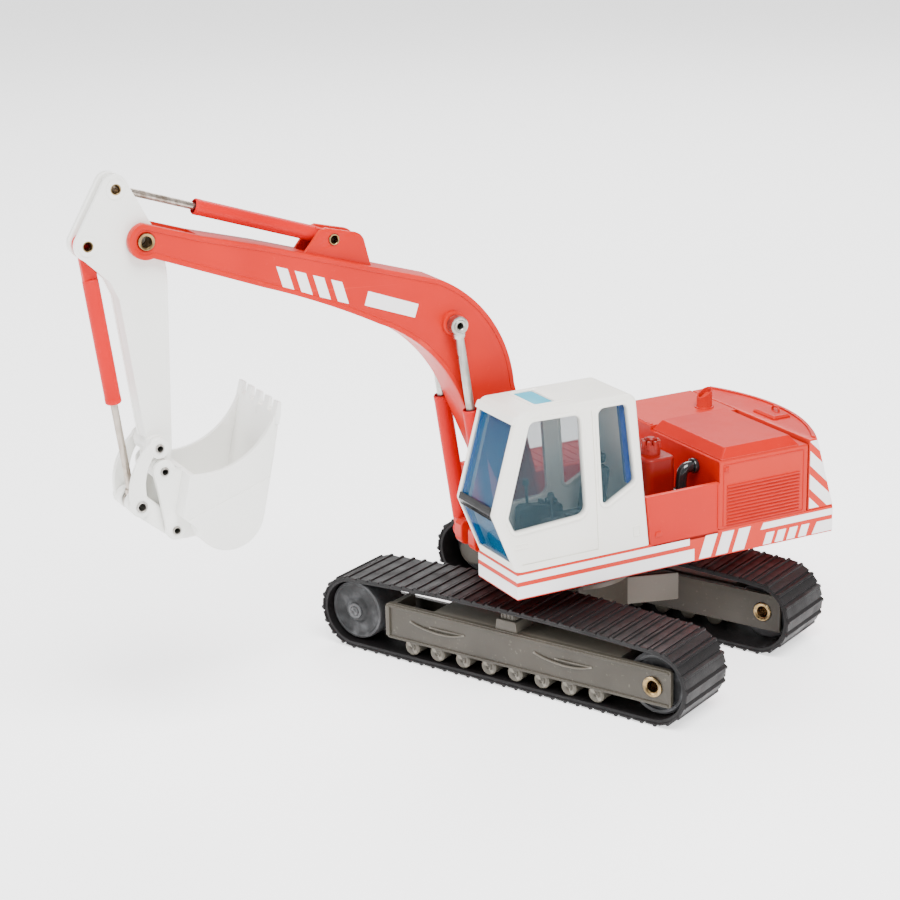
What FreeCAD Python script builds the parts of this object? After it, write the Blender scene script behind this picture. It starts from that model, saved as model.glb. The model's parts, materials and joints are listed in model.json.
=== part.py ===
"""Toy crawler excavator, a 1:50 model, as an assembly of its separate pieces.

Millimetres, +Z up. The origin is the slew axis at ground level. The undercarriage runs along X,
with the idlers at +X and the drive wheels at -X. Everything above the slew ring is drawn in the
upper frame, where x points forward and y to the left, and is turned about Z by slew_angle.
"""
import FreeCAD, Part
import Sketcher
import math
import os
from FreeCAD import Placement, Rotation, Vector

SIZES = {
    # undercarriage
    "wheelbase": 75.88, "wheel_height": 8.47, "belt_outer_radius": 8.47, "belt_thickness": 1.5,
    "belt_width": 16.4, "track_middle": 22.0, "idler_radius": 6.7, "wheel_width": 8.8,
    "hub_radius": 2.35, "hub_height": 0.8,
    "dish_depth": 1.2, "dish_radius": 5.6, "dish_hub_radius": 2.6, "axle_radius": 1.1,
    "axle_length": 11.9,
    "rivet_radius": 1.9, "rivet_hole_radius": 1.25, "rivet_length": 12.9,
    "frame_width": 9.2, "frame_middle": 24.9, "plate_thickness": 1.2, "web_width": 3.0,
    "roller_radius": 1.9, "roller_width": 9.0, "roller_pitch": 6.67, "first_roller": 22.26,
    "roller_height": 3.42, "carrier_width": 7.0,
    "centre_box_length": 18.0, "centre_box_height": 11.0, "centre_box_bottom": 6.5,
    "arm_height": 6.5,
    "slew_boss_radius": 13.0, "slew_boss_height": 5.4, "slew_rivet_radius": 3.0,
    "slew_rivet_hole_radius": 2.1, "slew_rivet_length": 22.0,
    # upper structure
    "slew_angle": 63.31, "deck_bottom": 23.17, "deck_height": 6.0, "half_width": 25.0,
    "lug_width": 2.9, "foot_lug_width": 1.7, "foot_lug_gap": 9.4,
    "hood_bottom": 29.2, "hood_top": 45.4, "hood_length": 23.2, "hood_front": -21.7,
    "tank_wall": 1.2, "cab_width": 16.5, "cab_middle": 16.75, "cab_wall": 1.1,
    "glass_thickness": 0.6, "windscreen_width": 13.3, "lever_radius": 0.45, "valve_radius": 2.0,
    "stack_radius": 1.75, "stack_hole_radius": 1.3, "hose_radius": 1.25,
    # arm
    "boom_width": 8.6, "fork_gap": 5.8, "ear_width": 0.9, "ear_gap": 4.0,
    "boom_boss_width": 10.3, "boom_boss_radius": 2.5,
    "pin_radius": 1.0, "pin_fit": 0.02, "running_fit": 0.06,
    "foot_pin_radius": 1.5, "foot_pin_length": 13.2, "base_pin_length": 15.6,
    "tip_rivet_radius": 1.6, "tip_rivet_hole": 0.95, "small_rivet_hole": 0.7,
    "tip_rivet_length": 9.4, "ear_rivet_length": 6.4, "stick_rivet_length": 5.6,
    "link_rivet_length": 11.6, "link_pin_radius": 0.75, "link_pin_hole": 0.45,
    "cylinder_plane": 6.4, "boom_barrel_radius": 1.78, "boom_bore_radius": 1.5,
    "boom_rod_radius": 0.92, "eye_radius": 1.95, "eye_width": 2.2, "neck_half_width": 1.4,
    "boom_barrel_length": 31.2, "boom_rod_length": 23.4,
    "slim_barrel_radius": 1.6, "slim_bore_radius": 1.28, "slim_rod_radius": 0.72,
    "slim_eye_width": 1.5, "slim_eye_radius": 1.7,
    "stick_barrel_length": 29.5, "stick_rod_length": 20.5,
    "bucket_barrel_length": 31.8, "bucket_rod_length": 23.5,
    "stick_width": 5.2, "stick_slot": 2.1, "slot_reach": 3.3,
    "stick_boss_width": 7.4, "stick_boss_radius": 2.15,
    "link_width": 1.5, "link_middle": 4.65, "coupler_width": 7.4, "coupler_slot": 2.2,
    "coupler_reach": 2.9, "coupler_free_radius": 1.4,
    "bucket_width": 19.2, "bucket_wall": 1.2, "tooth_width": 2.0, "tooth_pitch": 4.3,
}

# Pins of the arm in the upper frame, as x and z in the pose that the model is drawn in.
FOOT = (13.5, 34.0)
BOOM_CYLINDER_BASE = (23.3, 28.5)
BOOM_CYLINDER_EYE = (30.3, 77.6)
TIP = (94.9, 102.5)
EAR = (55.5, 97.8)
STICK_TOP = (99.6, 112.7)
BUCKET_CYLINDER_TOP = (105.8, 102.6)
ROCKER_PIVOT = (95.3, 62.1)
LINK_PIN = (99.7, 51.0)
BUCKET_PIVOT = (94.6, 57.3)
COUPLER_PIN = (92.9, 44.9)

doc = FreeCAD.newDocument("toy_excavator")
sheet = doc.addObject("Spreadsheet::Sheet", "Sheet")
for row, (alias, value) in enumerate(SIZES.items(), start=1):
    sheet.set(f"A{row}", alias)
    sheet.set(f"B{row}", str(value))
    sheet.setAlias(f"B{row}", alias)
doc.recompute()

subparts = []


def size(alias):
    """A driving dimension, read back from the sheet."""
    return float(sheet.get(alias))


GROUND = Placement()
UPPER = Placement(Vector(0, 0, 0), Rotation(Vector(0, 0, 1), size("slew_angle")))


def path_edges(path):
    """A closed outline. Two numbers are a corner; four are an arc's middle and its end.

    The last step may be an arc back to the first corner.
    """
    ends = [Vector(step[-2], step[-1], 0) for step in path]
    edges = []
    for index, step in enumerate(path):
        start = ends[index - 1]
        if len(step) == 4:
            edges.append(Part.Arc(start, Vector(step[0], step[1], 0), ends[index]))
        elif start.distanceToPoint(ends[index]) > 1e-6:
            edges.append(Part.LineSegment(start, ends[index]))
    return edges


def rounded(corners):
    """A closed outline whose corners are (x, y, radius), with tangent arcs at the round ones."""
    steps = []
    for index, (x, y, radius) in enumerate(corners):
        here = Vector(x, y, 0)
        if radius == 0:
            steps.append((x, y))
            continue
        back = Vector(*corners[index - 1][:2], 0) - here
        ahead = Vector(*corners[(index + 1) % len(corners)][:2], 0) - here
        back.normalize()
        ahead.normalize()
        half = back.getAngle(ahead) / 2
        reach = radius / math.tan(half)
        towards = back + ahead
        towards.normalize()
        first = here + back * reach
        last = here + ahead * reach
        middle = here + towards * (radius / math.sin(half) - radius)
        steps.append((first.x, first.y))
        steps.append((middle.x, middle.y, last.x, last.y))
    return steps


def box_path(x0, y0, x1, y1):
    return [(x1, y0), (x1, y1), (x0, y1), (x0, y0)]


class Piece:
    """A PartDesign body, padded and pocketed from outlines on its own origin planes.

    Every pad and pocket is symmetric about the plane at the given distance along the plane's
    axis, and its length is an expression on the sheet.
    """

    def __init__(self, label, where=UPPER):
        self.body = doc.addObject("PartDesign::Body", label)
        self.body.Label = label
        self.label = label
        self.where = where
        self.features = 0
        subparts.append(self)

    def sketch(self, plane, at, paths, circles):
        self.features += 1
        name = f"{self.label}_sketch{self.features}"
        sketch = self.body.newObject("Sketcher::SketchObject", name)
        support = next(f for f in self.body.Origin.OriginFeatures if f.Role == plane + "_Plane")
        sketch.AttachmentSupport = (support, [""])
        sketch.MapMode = "FlatFace"
        along = -at if plane == "XZ" else at
        sketch.AttachmentOffset = Placement(Vector(0, 0, along), Rotation())
        for path in paths:
            for edge in path_edges(path):
                sketch.addGeometry(edge, False)
        for x, y, alias in circles:
            radius = float(sheet.evalExpression(alias))
            index = sketch.addGeometry(Part.Circle(Vector(x, y, 0), Vector(0, 0, 1), radius), False)
            constraint = sketch.addConstraint(Sketcher.Constraint("Radius", index, radius))
            sketch.setExpression(f"Constraints[{constraint}]", alias)
        return sketch

    def feature(self, kind, plane, at, length, paths=(), circles=()):
        sketch = self.sketch(plane, at, paths, circles)
        made = self.body.newObject("PartDesign::" + kind, f"{self.label}_{kind.lower()}{self.features}")
        made.Profile = sketch
        made.SideType = "Symmetric"
        made.setExpression("Length", length)
        self.body.Tip = made
        return self

    def pad(self, plane, at, length, paths=(), circles=()):
        return self.feature("Pad", plane, at, length, paths, circles)

    def pocket(self, plane, at, length, paths=(), circles=()):
        return self.feature("Pocket", plane, at, length, paths, circles)

    def loft(self, plane, first, second):
        """A ruled loft between outlines at two distances, each given as (distance, path)."""
        sketches = [self.sketch(plane, at, [path], ()) for at, path in (first, second)]
        made = self.body.newObject("PartDesign::AdditiveLoft", self.label + "_loft")
        made.Profile = sketches[0]
        made.Sections = [sketches[1]]
        made.Ruled = True
        self.body.Tip = made
        return self


def along_arm(pin, other, y=0.0):
    """Placement in the upper frame of a cylinder whose own +Z runs from one pin to another."""
    turn = math.degrees(math.atan2(other[0] - pin[0], other[1] - pin[1]))
    return UPPER * Placement(Vector(pin[0], y, pin[1]), Rotation(Vector(0, 1, 0), turn))


def cross_pin(label, pin, radius, length, hole=None, y=0.0):
    """A pin or hollow rivet that lies across the arm."""
    piece = Piece(label)
    piece.pad("XZ", y, length, circles=[(*pin, radius)])
    if hole:
        piece.pocket("XZ", y, f"{length} + 2", circles=[(*pin, hole)])
    return piece


# ---------------------------------------------------------------- undercarriage

half_base = size("wheelbase") / 2
axle_z = size("wheel_height")


def stadium(radius):
    """The outline of a belt round both wheels."""
    low, high = axle_z - radius, axle_z + radius
    return [
        (half_base, low),
        (half_base + radius, axle_z, half_base, high),
        (-half_base, high),
        (-half_base - radius, axle_z, -half_base, low),
    ]


def make_track(side, sign):
    middle = sign * size("track_middle")
    outer = size("belt_outer_radius")
    inner = outer - size("belt_thickness")
    belt = Piece("track_" + side, GROUND)
    belt.pad("XZ", middle, "Sheet.belt_width", [stadium(outer), stadium(inner)])


def make_side_frame(side, sign):
    """Beam with cast rollers, an inner plate for both axles and an outer plate for the rear rivet."""
    frame = Piece("side_frame_" + side, GROUND)
    low, high, rear, front = 4.4, 12.6, -29.6, 29.2
    middle = sign * size("frame_middle")
    frame.pad("XZ", middle, "Sheet.frame_width", [box_path(rear, low, 20.5, high)])
    outer = rounded([(-42.1, low, 0.9), (front, low, 1.2), (front, high, 1.2), (-42.1, high, 0.9)])
    frame.pad("XZ", sign * 28.95, "Sheet.plate_thickness", [outer])
    frame.pad("XZ", middle, "Sheet.frame_width", [box_path(20, low, front - 0.5, 6.0)])
    frame.pad("XZ", middle, "Sheet.frame_width", [box_path(front - 1.8, low + 0.5, front - 0.5, high - 0.5)])
    inner = [(half_base, low), (half_base + 4.2, axle_z, half_base, 10.2), (20.0, 10.2), (20.0, high),
             (-42.1, high), (-42.1, low)]
    frame.pad("XZ", sign * 18.2, "Sheet.plate_thickness", [inner])
    frame.pad("XZ", sign * 19.5, "Sheet.web_width", [box_path(rear, 5.5, 19.8, 12.0)])
    first, pitch = size("first_roller"), size("roller_pitch")
    rollers = [(first - pitch * n, size("roller_height"), "Sheet.roller_radius") for n in range(8)]
    frame.pad("XZ", middle, "Sheet.roller_width", circles=rollers)
    carrier = [(-4.9, 12.4), (0.5, 12.4), (0.3, 14.1), (-0.2, 14.1), (-0.6, 15.2), (-3.8, 15.2), (-4.2, 14.1),
               (-4.7, 14.1)]
    frame.pad("XZ", middle, "Sheet.carrier_width", [carrier])
    frame.pocket("XZ", sign * 18.2, "Sheet.plate_thickness * 2",
                 circles=[(half_base, axle_z, "Sheet.axle_radius + Sheet.pin_fit")])
    frame.pocket("XZ", sign * 21.5, "Sheet.frame_width * 2",
                 circles=[(-half_base, axle_z, "Sheet.rivet_radius + Sheet.pin_fit")])


def make_wheels(side, sign):
    wheel_y = sign * 24.0
    idler = Piece("idler_" + side, GROUND)
    idler.pad("XZ", wheel_y, "Sheet.wheel_width", circles=[(half_base, axle_z, "Sheet.idler_radius")])
    face = wheel_y + sign * size("wheel_width") / 2
    idler.pocket("XZ", face, "Sheet.dish_depth * 2", circles=[
        (half_base, axle_z, "Sheet.dish_radius"), (half_base, axle_z, "Sheet.dish_hub_radius")])
    idler.pad("XZ", face, "Sheet.hub_height * 2", circles=[(half_base, axle_z, "Sheet.hub_radius")])
    idler.pocket("XZ", wheel_y, "Sheet.wheel_width * 2",
                 circles=[(half_base, axle_z, "Sheet.axle_radius + Sheet.running_fit")])
    drive = Piece("drive_wheel_" + side, GROUND)
    drive_y = sign * 23.6
    drive.pad("XZ", drive_y, "Sheet.wheel_width",
              circles=[(-half_base, axle_z, "Sheet.idler_radius")])
    drive.pocket("XZ", drive_y, "Sheet.wheel_width * 2",
                 circles=[(-half_base, axle_z, "Sheet.rivet_radius + Sheet.running_fit")])
    rivet = Piece("drive_rivet_" + side, GROUND)
    rivet.pad("XZ", sign * 23.65, "Sheet.rivet_length",
              circles=[(-half_base, axle_z, "Sheet.rivet_radius")])
    rivet.pocket("XZ", sign * 23.65, "Sheet.rivet_length + 2",
                 circles=[(-half_base, axle_z, "Sheet.rivet_hole_radius")])


def make_centre_frame():
    frame = Piece("centre_frame", GROUND)
    box_middle = size("centre_box_bottom") + size("centre_box_height") / 2
    half = size("centre_box_length") / 2
    frame.pad("XY", box_middle, "Sheet.centre_box_height", [box_path(-half, -11.5, half, 11.5)])
    edge = 17.58
    arms = []
    for sx in (-1, 1):
        for sy in (-1, 1):
            arms.append([(sx * 2.5, sy * 11.0), (sx * 8.8, sy * 8.8),
                         (sx * 17.0, sy * edge), (sx * 8.5, sy * edge)])
    for arm in arms:
        frame.pad("XY", 10.2, "Sheet.arm_height", [arm])
    boss_z = 17.4 + size("slew_boss_height") / 2
    frame.pad("XY", boss_z, "Sheet.slew_boss_height", circles=[(0, 0, "Sheet.slew_boss_radius")])
    frame.pocket("XY", 15, "40", circles=[(0, 0, "Sheet.slew_rivet_radius + Sheet.pin_fit")])
    rivet = Piece("slew_rivet", GROUND)
    rivet.pad("XY", 18.9, "Sheet.slew_rivet_length", circles=[(0, 0, "Sheet.slew_rivet_radius")])
    rivet.pad("XY", 29.9, "0.8", circles=[(0, 0, "Sheet.slew_rivet_radius + 1.2")])
    rivet.pocket("XY", 19, "40", circles=[(0, 0, "Sheet.slew_rivet_hole_radius")])


for side_name, side_sign in (("left", 1), ("right", -1)):
    make_track(side_name, side_sign)
    make_side_frame(side_name, side_sign)
    make_wheels(side_name, side_sign)
    axle = Piece("idler_axle_" + side_name, GROUND)
    axle.pad("XZ", side_sign * 23.75, "Sheet.axle_length", circles=[(half_base, axle_z, "Sheet.axle_radius")])
make_centre_frame()

# ---------------------------------------------------------------- upper structure

half_width = size("half_width")
deck_top = size("deck_bottom") + size("deck_height")
hood_bottom = size("hood_bottom")
hood_top = size("hood_top")
hood_front = size("hood_front")
hood_rear = hood_front - size("hood_length")


def make_deck():
    deck = Piece("deck")
    plan = [(27.75, half_width), (-51.7, half_width), (-59.4, 0, -51.7, -half_width),
            (15.8, -half_width), (15.8, -8.6), (19.5, -8.6), (19.5, 8.6), (27.75, 8.6)]
    deck.pad("XY", size("deck_bottom") + size("deck_height") / 2, "Sheet.deck_height", [plan])
    deck.pocket("XY", 26, "12", circles=[(0, 0, "Sheet.slew_rivet_radius + Sheet.running_fit")])
    lug = [(18.5, 26.6), (24.5, 26.6), (26.0, 27.2, 26.4, 28.8), (26.4, 31.2), (25.6, 32.0), (21.0, 32.0),
           (18.5, 30.4)]
    for y in (-2.9, 2.9):
        deck.pad("XZ", y, "Sheet.lug_width", [lug])
    foot_lug = [(18.2, 29.0), (17.1, 34.0), (13.5, 37.6, 9.9, 34.0), (8.8, 29.0)]
    lug_y = (size("foot_lug_gap") + size("foot_lug_width")) / 2
    for y in (-lug_y, lug_y):
        deck.pad("XZ", y, "Sheet.foot_lug_width", [foot_lug])
    wall = box_path(hood_front, deck_top - 0.2, -4.7, 39.8)
    deck.pad("XZ", half_width - size("tank_wall") / 2, "Sheet.tank_wall", [wall])
    deck.pocket("XZ", 0, "20", circles=[(*FOOT, "Sheet.foot_pin_radius + Sheet.pin_fit")])
    deck.pocket("XZ", 0, "20", circles=[(*BOOM_CYLINDER_BASE, "Sheet.pin_radius + Sheet.pin_fit")])


def make_hood():
    middle = (hood_front + hood_rear) / 2
    hood = Piece("engine_hood")
    section = [(half_width, hood_bottom), (half_width, hood_top - 1.3), (half_width - 0.3, hood_top - 1),
               (-1.8, hood_top - 1), (-1.8, hood_top), (-20, hood_top), (-half_width, hood_top - 5),
               (-half_width, hood_bottom)]
    hood.pad("YZ", middle, "Sheet.hood_length", [section])
    hollow = [(23.7, hood_bottom - 1), (23.7, 43.1), (-19.4, 43.1), (-23.7, 39.0),
              (-23.7, hood_bottom - 1)]
    hood.pocket("YZ", middle, "Sheet.hood_length - 2.6", [hollow])
    weight = Piece("counterweight")
    low = [(hood_rear - 0.02, half_width), (-51.7, half_width), (-59.4, 0, -51.7, -half_width),
           (hood_rear - 0.02, -half_width)]
    high = [(hood_rear - 0.02, half_width), (-47.0, half_width), (-54.53, 2.5, -49.9, -20.0),
            (hood_rear - 0.02, -20.0)]
    weight.loft("XY", (hood_bottom, low), (hood_top, high))
    cover = Piece("hood_cover")
    low = [(-42.4, -1.7), (-22.4, -1.7), (-22.4, 24.5), (-42.4, 24.5)]
    high = [(-40.7, -0.6), (-23.9, -0.6), (-23.9, 23.5), (-40.7, 23.5)]
    cover.loft("XY", (hood_top - 0.98, low), (hood_top + 1.4, high))
    stack = Piece("exhaust_stack")
    stack.pad("XY", hood_top + 2.3, "4.6", circles=[(-39.8, -7.4, "Sheet.stack_radius")])
    stack.pocket("XY", hood_top + 4, "6", circles=[(-39.8, -7.4, "Sheet.stack_hole_radius")])
    stack.pocket("XZ", -7.4, "8", [[(-44, hood_top + 8), (-44, hood_top + 6.4), (-36, hood_top + 1.6),
                                   (-36, hood_top + 8)]])
    plate = Piece("service_plate")
    plate.pad("XY", hood_top + 0.4, "0.8", [box_path(-51.6, 1.5, -46.6, 9.5)])


def make_right_housing():
    housing = Piece("right_housing")
    plan = [(14.6, -9.6), (hood_front + 0.05, -9.6), (hood_front + 0.05, -half_width),
            (14.6, -half_width)]
    housing.pad("XY", 33.1, "7.8", [plan])


FRONT_WINDOW = [(24.4, 60.7, 1.4), (12.8, 60.5, 1.6), (11.3, 38.9, 1.8), (28.2, 38.0, 1.2),
                (29.7, 41.3, 1.6)]
REAR_WINDOW = [(8.5, 61.0, 1.4), (1.7, 61.0, 1.2), (-0.5, 43.8, 1.4), (7.3, 39.6, 1.0)]


def make_cab():
    cab = Piece("cab_shell")
    middle = size("cab_middle")
    outer = rounded([(27.7, deck_top + 0.03, 0), (32.9, 42.1, 1.2), (27.0, 62.7, 2.2),
                     (-0.9, 62.7, 2.2), (-4.4, deck_top + 0.03, 0)])
    inner = rounded([(26.0, 28.0, 0), (31.6, 42.1, 1.0), (26.1, 61.6, 1.2),
                     (0.1, 61.6, 1.2), (-3.3, 28.0, 0)])
    cab.pad("XZ", middle, "Sheet.cab_width", [outer])
    cab.pocket("XZ", middle, "Sheet.cab_width - 2 * Sheet.cab_wall", [inner])
    windows = [rounded(FRONT_WINDOW), rounded(REAR_WINDOW)]
    cab.pocket("XZ", middle, "Sheet.cab_width + 2", windows)
    front_opening = [(29.4, 31.2), (34.0, 42.0), (29.0, 60.3), (24.6, 60.3), (30.2, 42.1), (25.0, 31.2)]
    cab.pocket("XZ", middle, "Sheet.windscreen_width", [front_opening])
    hatch = rounded([(16.1, 11.2, 0.6), (20.6, 11.2, 0.6), (20.6, 20.7, 0.6), (16.1, 20.7, 0.6)])
    cab.pocket("XY", 62, "4", [hatch])
    for name, y in (("left", 24.3), ("right", 9.2)):
        pane = Piece("cab_glass_" + name)
        pane.pad("XZ", y, "Sheet.glass_thickness", windows)
    screen = Piece("windscreen")
    screen.pad("XZ", middle, "Sheet.windscreen_width", [[
        (28.2, 31.2), (32.6, 42.1), (27.34, 60.3), (26.69, 60.3), (31.93, 42.1), (27.55, 31.2)]])
    bar = Piece("windscreen_bar")
    bar.pad("XZ", middle, "Sheet.windscreen_width", [[
        (32.17, 40.9), (32.62, 42.1), (32.28, 43.3), (32.68, 43.3), (33.02, 42.1), (32.57, 40.9)]])
    roof = Piece("roof_hatch")
    roof.pad("XY", 62.35, "1.3", [hatch])


def make_cab_interior():
    floor = Piece("cab_floor")
    floor.pad("XY", 29.95, "1.4", [box_path(-2.2, 10.2, 25.6, 23.3)])
    seat = Piece("seat")
    seat.pad("XZ", 16.75, "7.4", [rounded([
        (4.5, 30.65, 0), (13.5, 30.65, 0), (13.5, 36.4, 1.2), (7.2, 36.0, 0.8), (5.2, 49.0, 1.0),
        (2.6, 49.0, 1.0), (3.8, 36.0, 0)])])
    console = Piece("console")
    for y in (11.6, 21.9):
        console.pad("XZ", y, "2.6", [rounded([
            (9.5, 30.65, 0), (20.0, 30.65, 0), (20.0, 38.5, 1.0), (9.5, 37.4, 1.0)])])
        console.pad("XY", 40.5, "6.0", circles=[(17.6, y, "Sheet.lever_radius")])


def make_bay():
    tank = Piece("tank_block")
    tank.pad("XY", 36.9, "15.3", [rounded([
        (-16.2, 10.0, 0.5), (-9.0, 10.0, 1.5), (-9.0, 17.0, 1.5), (-16.2, 17.0, 1.5)])])
    valve = Piece("valve_block")
    valve.pad("XY", 46.1, "3.0", circles=[(-12.4, 12.6, "Sheet.valve_radius")])
    valve.pad("XY", 47.9, "0.8", circles=[(-12.4, 12.6, "Sheet.valve_radius * 0.72")])
    hose = doc.addObject("Part::Feature", "hose_elbow")
    bend = 3.6
    foot = Vector(-17.9, 16.0, deck_top + 0.05)
    corner = Vector(-17.9, 16.0, 37.6)
    end = Vector(hood_front + 0.1, 16.0, 41.2)
    middle = corner + Vector(-bend * (1 - math.sqrt(0.5)), 0, bend * math.sqrt(0.5))
    after = corner + Vector(-bend, 0, bend)
    line = Part.Wire([Part.LineSegment(foot, corner).toShape(), Part.Arc(corner, middle, after).toShape(),
                      Part.LineSegment(after, end).toShape()])
    ring = Part.Wire([Part.Circle(foot, Vector(0, 0, 1), size("hose_radius")).toShape()])
    hose.Shape = line.makePipeShell([ring], True, False)
    hose.Placement = UPPER
    subparts.append(hose)


make_deck()
make_hood()
make_right_housing()
make_cab()
make_cab_interior()
make_bay()
cross_pin("boom_foot_pin", FOOT, "Sheet.foot_pin_radius", "Sheet.foot_pin_length")
cross_pin("boom_cylinder_base_pin", BOOM_CYLINDER_BASE, "Sheet.pin_radius", "Sheet.base_pin_length")

# ---------------------------------------------------------------- boom

BOOM_OUTLINE = [
    (17.7, 34.6), (28.3, 60.0), (35.2, 71.4, 46.7, 79.6), (58.6, 85.4, 71.2, 90.4), (93.6, 99.1),
    (98.3, 102.0, 95.2, 106.0), (84.0, 102.3), (70.8, 98.7), (32.9, 87.0), (21.8, 77.9, 16.1, 62.8),
    (9.4, 35.0), (12.5, 29.9, 17.7, 34.6),
]


def make_boom():
    boom = Piece("boom")
    boom.pad("XZ", 0, "Sheet.boom_width", [BOOM_OUTLINE])
    boom.pad("XZ", 0, "Sheet.boom_boss_width",
             circles=[(*BOOM_CYLINDER_EYE, "Sheet.boom_boss_radius")])
    ear = [(47.3, 90.5), (48.9, 97.0), (49.8, 98.2, 51.2, 98.8), (57.2, 100.3), (58.5, 99.9), (62.6, 95.0)]
    ear_y = (size("ear_gap") + size("ear_width")) / 2
    for y in (-ear_y, ear_y):
        boom.pad("XZ", y, "Sheet.ear_width", [ear])
    slot = [(102, 92), (102, 112), (83.5, 112), (83.5, 92)]
    boom.pocket("XZ", 0, "Sheet.fork_gap", [slot])
    boom.pocket("XZ", 0, "20", circles=[(*FOOT, "Sheet.foot_pin_radius + Sheet.running_fit")])
    boom.pocket("XZ", 0, "20", circles=[
        (*BOOM_CYLINDER_EYE, "Sheet.pin_radius + Sheet.pin_fit"),
        (*EAR, "Sheet.pin_radius + Sheet.pin_fit"), (*TIP, "Sheet.tip_rivet_radius + Sheet.pin_fit")])


make_boom()
cross_pin("boom_tip_rivet", TIP, "Sheet.tip_rivet_radius", "Sheet.tip_rivet_length", "Sheet.tip_rivet_hole")
cross_pin("boom_cylinder_pin", BOOM_CYLINDER_EYE, "Sheet.pin_radius", "Sheet.base_pin_length",
          "Sheet.small_rivet_hole")
cross_pin("ear_rivet", EAR, "Sheet.pin_radius", "Sheet.ear_rivet_length", "Sheet.small_rivet_hole")

# ---------------------------------------------------------------- hydraulic cylinders


def make_barrel(label, pin, other, y, kind, length_alias, eye_width, eye_radius, neck_length=2.9):
    """A barrel whose own +Z runs along it from the base pin; kind is boom or slim.

    The neck is the flat stretch between the pin and the round barrel.
    """
    barrel = Piece(label, along_arm(pin, other, y))
    length = size(length_alias)
    barrel.pad("XY", (neck_length + length) / 2, f"Sheet.{length_alias} - {neck_length}",
               circles=[(0, 0, f"Sheet.{kind}_barrel_radius")])
    barrel.pad("XZ", 0, eye_width, circles=[(0, 0, eye_radius)])
    neck = size("neck_half_width")
    barrel.pad("XZ", 0, eye_width, [box_path(-neck, 0, neck, neck_length + 1)])
    bore_start = neck_length + 3
    barrel.pocket("XY", (bore_start + length + 2) / 2, f"Sheet.{length_alias} + 2 - {bore_start}",
                  circles=[(0, 0, f"Sheet.{kind}_bore_radius")])
    barrel.pocket("XZ", 0, "10", circles=[(0, 0, "Sheet.pin_radius + Sheet.running_fit")])


def make_rod(label, pin, other, y, kind, length_alias, eye_width, eye_radius):
    """A rod whose own +Z runs from its eye back into the barrel."""
    rod = Piece(label, along_arm(pin, other, y))
    length = size(length_alias)
    rod.pad("XY", length / 2, f"Sheet.{length_alias}", circles=[(0, 0, f"Sheet.{kind}_rod_radius")])
    rod.pad("XZ", 0, eye_width, circles=[(0, 0, eye_radius)])
    rod.pocket("XZ", 0, "10", circles=[(0, 0, "Sheet.pin_radius + Sheet.running_fit")])


for side_name, side_y in (("left", size("cylinder_plane")), ("right", -size("cylinder_plane"))):
    make_barrel("boom_cylinder_barrel_" + side_name, BOOM_CYLINDER_BASE, BOOM_CYLINDER_EYE, side_y,
                "boom", "boom_barrel_length", "Sheet.eye_width", "Sheet.eye_radius")
    make_rod("boom_cylinder_rod_" + side_name, BOOM_CYLINDER_EYE, BOOM_CYLINDER_BASE, side_y,
             "boom", "boom_rod_length", "Sheet.eye_width", "Sheet.eye_radius")
SLIM_EYE = ("Sheet.slim_eye_width", "Sheet.slim_eye_radius")
make_barrel("stick_cylinder_barrel", EAR, STICK_TOP, 0, "slim", "stick_barrel_length",
            "Sheet.slim_barrel_radius * 2", "Sheet.slim_eye_radius")
make_rod("stick_cylinder_rod", STICK_TOP, EAR, 0, "slim", "stick_rod_length", *SLIM_EYE)
make_barrel("bucket_cylinder_barrel", BUCKET_CYLINDER_TOP, LINK_PIN, 0, "slim", "bucket_barrel_length",
            *SLIM_EYE, neck_length=6.8)
make_rod("bucket_cylinder_rod", LINK_PIN, BUCKET_CYLINDER_TOP, 0, "slim", "bucket_rod_length", *SLIM_EYE)

# ---------------------------------------------------------------- stick and linkage


def make_stick():
    stick = Piece("stick")
    outline = [
        (91.7, 61.0), (90.5, 92.3), (91.0, 99.6, 93.4, 106.2), (97.2, 113.6), (98.9, 115.4, 101.6, 114.6),
        (107.8, 104.2), (108.2, 101.8, 106.6, 99.9), (101.9, 95.2), (100.4, 91.7), (96.7, 61.0),
        (96.6, 57.0), (94.6, 55.2, 92.6, 57.0),
    ]
    stick.pad("XZ", 0, "Sheet.stick_width", [outline])
    stick.pad("XZ", 0, "Sheet.stick_boss_width", circles=[(*ROCKER_PIVOT, "Sheet.stick_boss_radius")])
    stick.pad("XZ", 0, "Sheet.stick_boss_width", circles=[(*BUCKET_PIVOT, "Sheet.stick_boss_radius")])
    stick.pocket("XZ", 0, "Sheet.stick_slot", circles=[
        (*STICK_TOP, "Sheet.slot_reach"), (*BUCKET_CYLINDER_TOP, "Sheet.slot_reach")])
    stick.pocket("XZ", 0, "Sheet.stick_slot", [[(100.0, 117.0), (90.0, 117.0), (90.0, 104.6),
                                               (95.0, 108.6), (101.5, 110.5)]])
    stick.pocket("XZ", 0, "Sheet.stick_slot", [[(103.6, 101.0), (108.5, 101.0), (108.5, 96.0),
                                               (102.6, 95.0)]])
    stick.pocket("XZ", 0, "20", circles=[
        (*STICK_TOP, "Sheet.pin_radius + Sheet.pin_fit"),
        (*BUCKET_CYLINDER_TOP, "Sheet.pin_radius + Sheet.pin_fit"),
        (*ROCKER_PIVOT, "Sheet.link_pin_radius + Sheet.pin_fit"),
        (*BUCKET_PIVOT, "Sheet.link_pin_radius + Sheet.pin_fit"),
        (*TIP, "Sheet.tip_rivet_radius + Sheet.running_fit")])


ROCKER_OUTLINE = [
    (97.25, 62.87), (100.85, 57.9, 101.75, 51.81), (100.51, 48.95, 97.65, 50.19),
    (98.3, 56.6, 96.65, 60.49), (93.9, 63.67, 97.25, 62.87),
]


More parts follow.
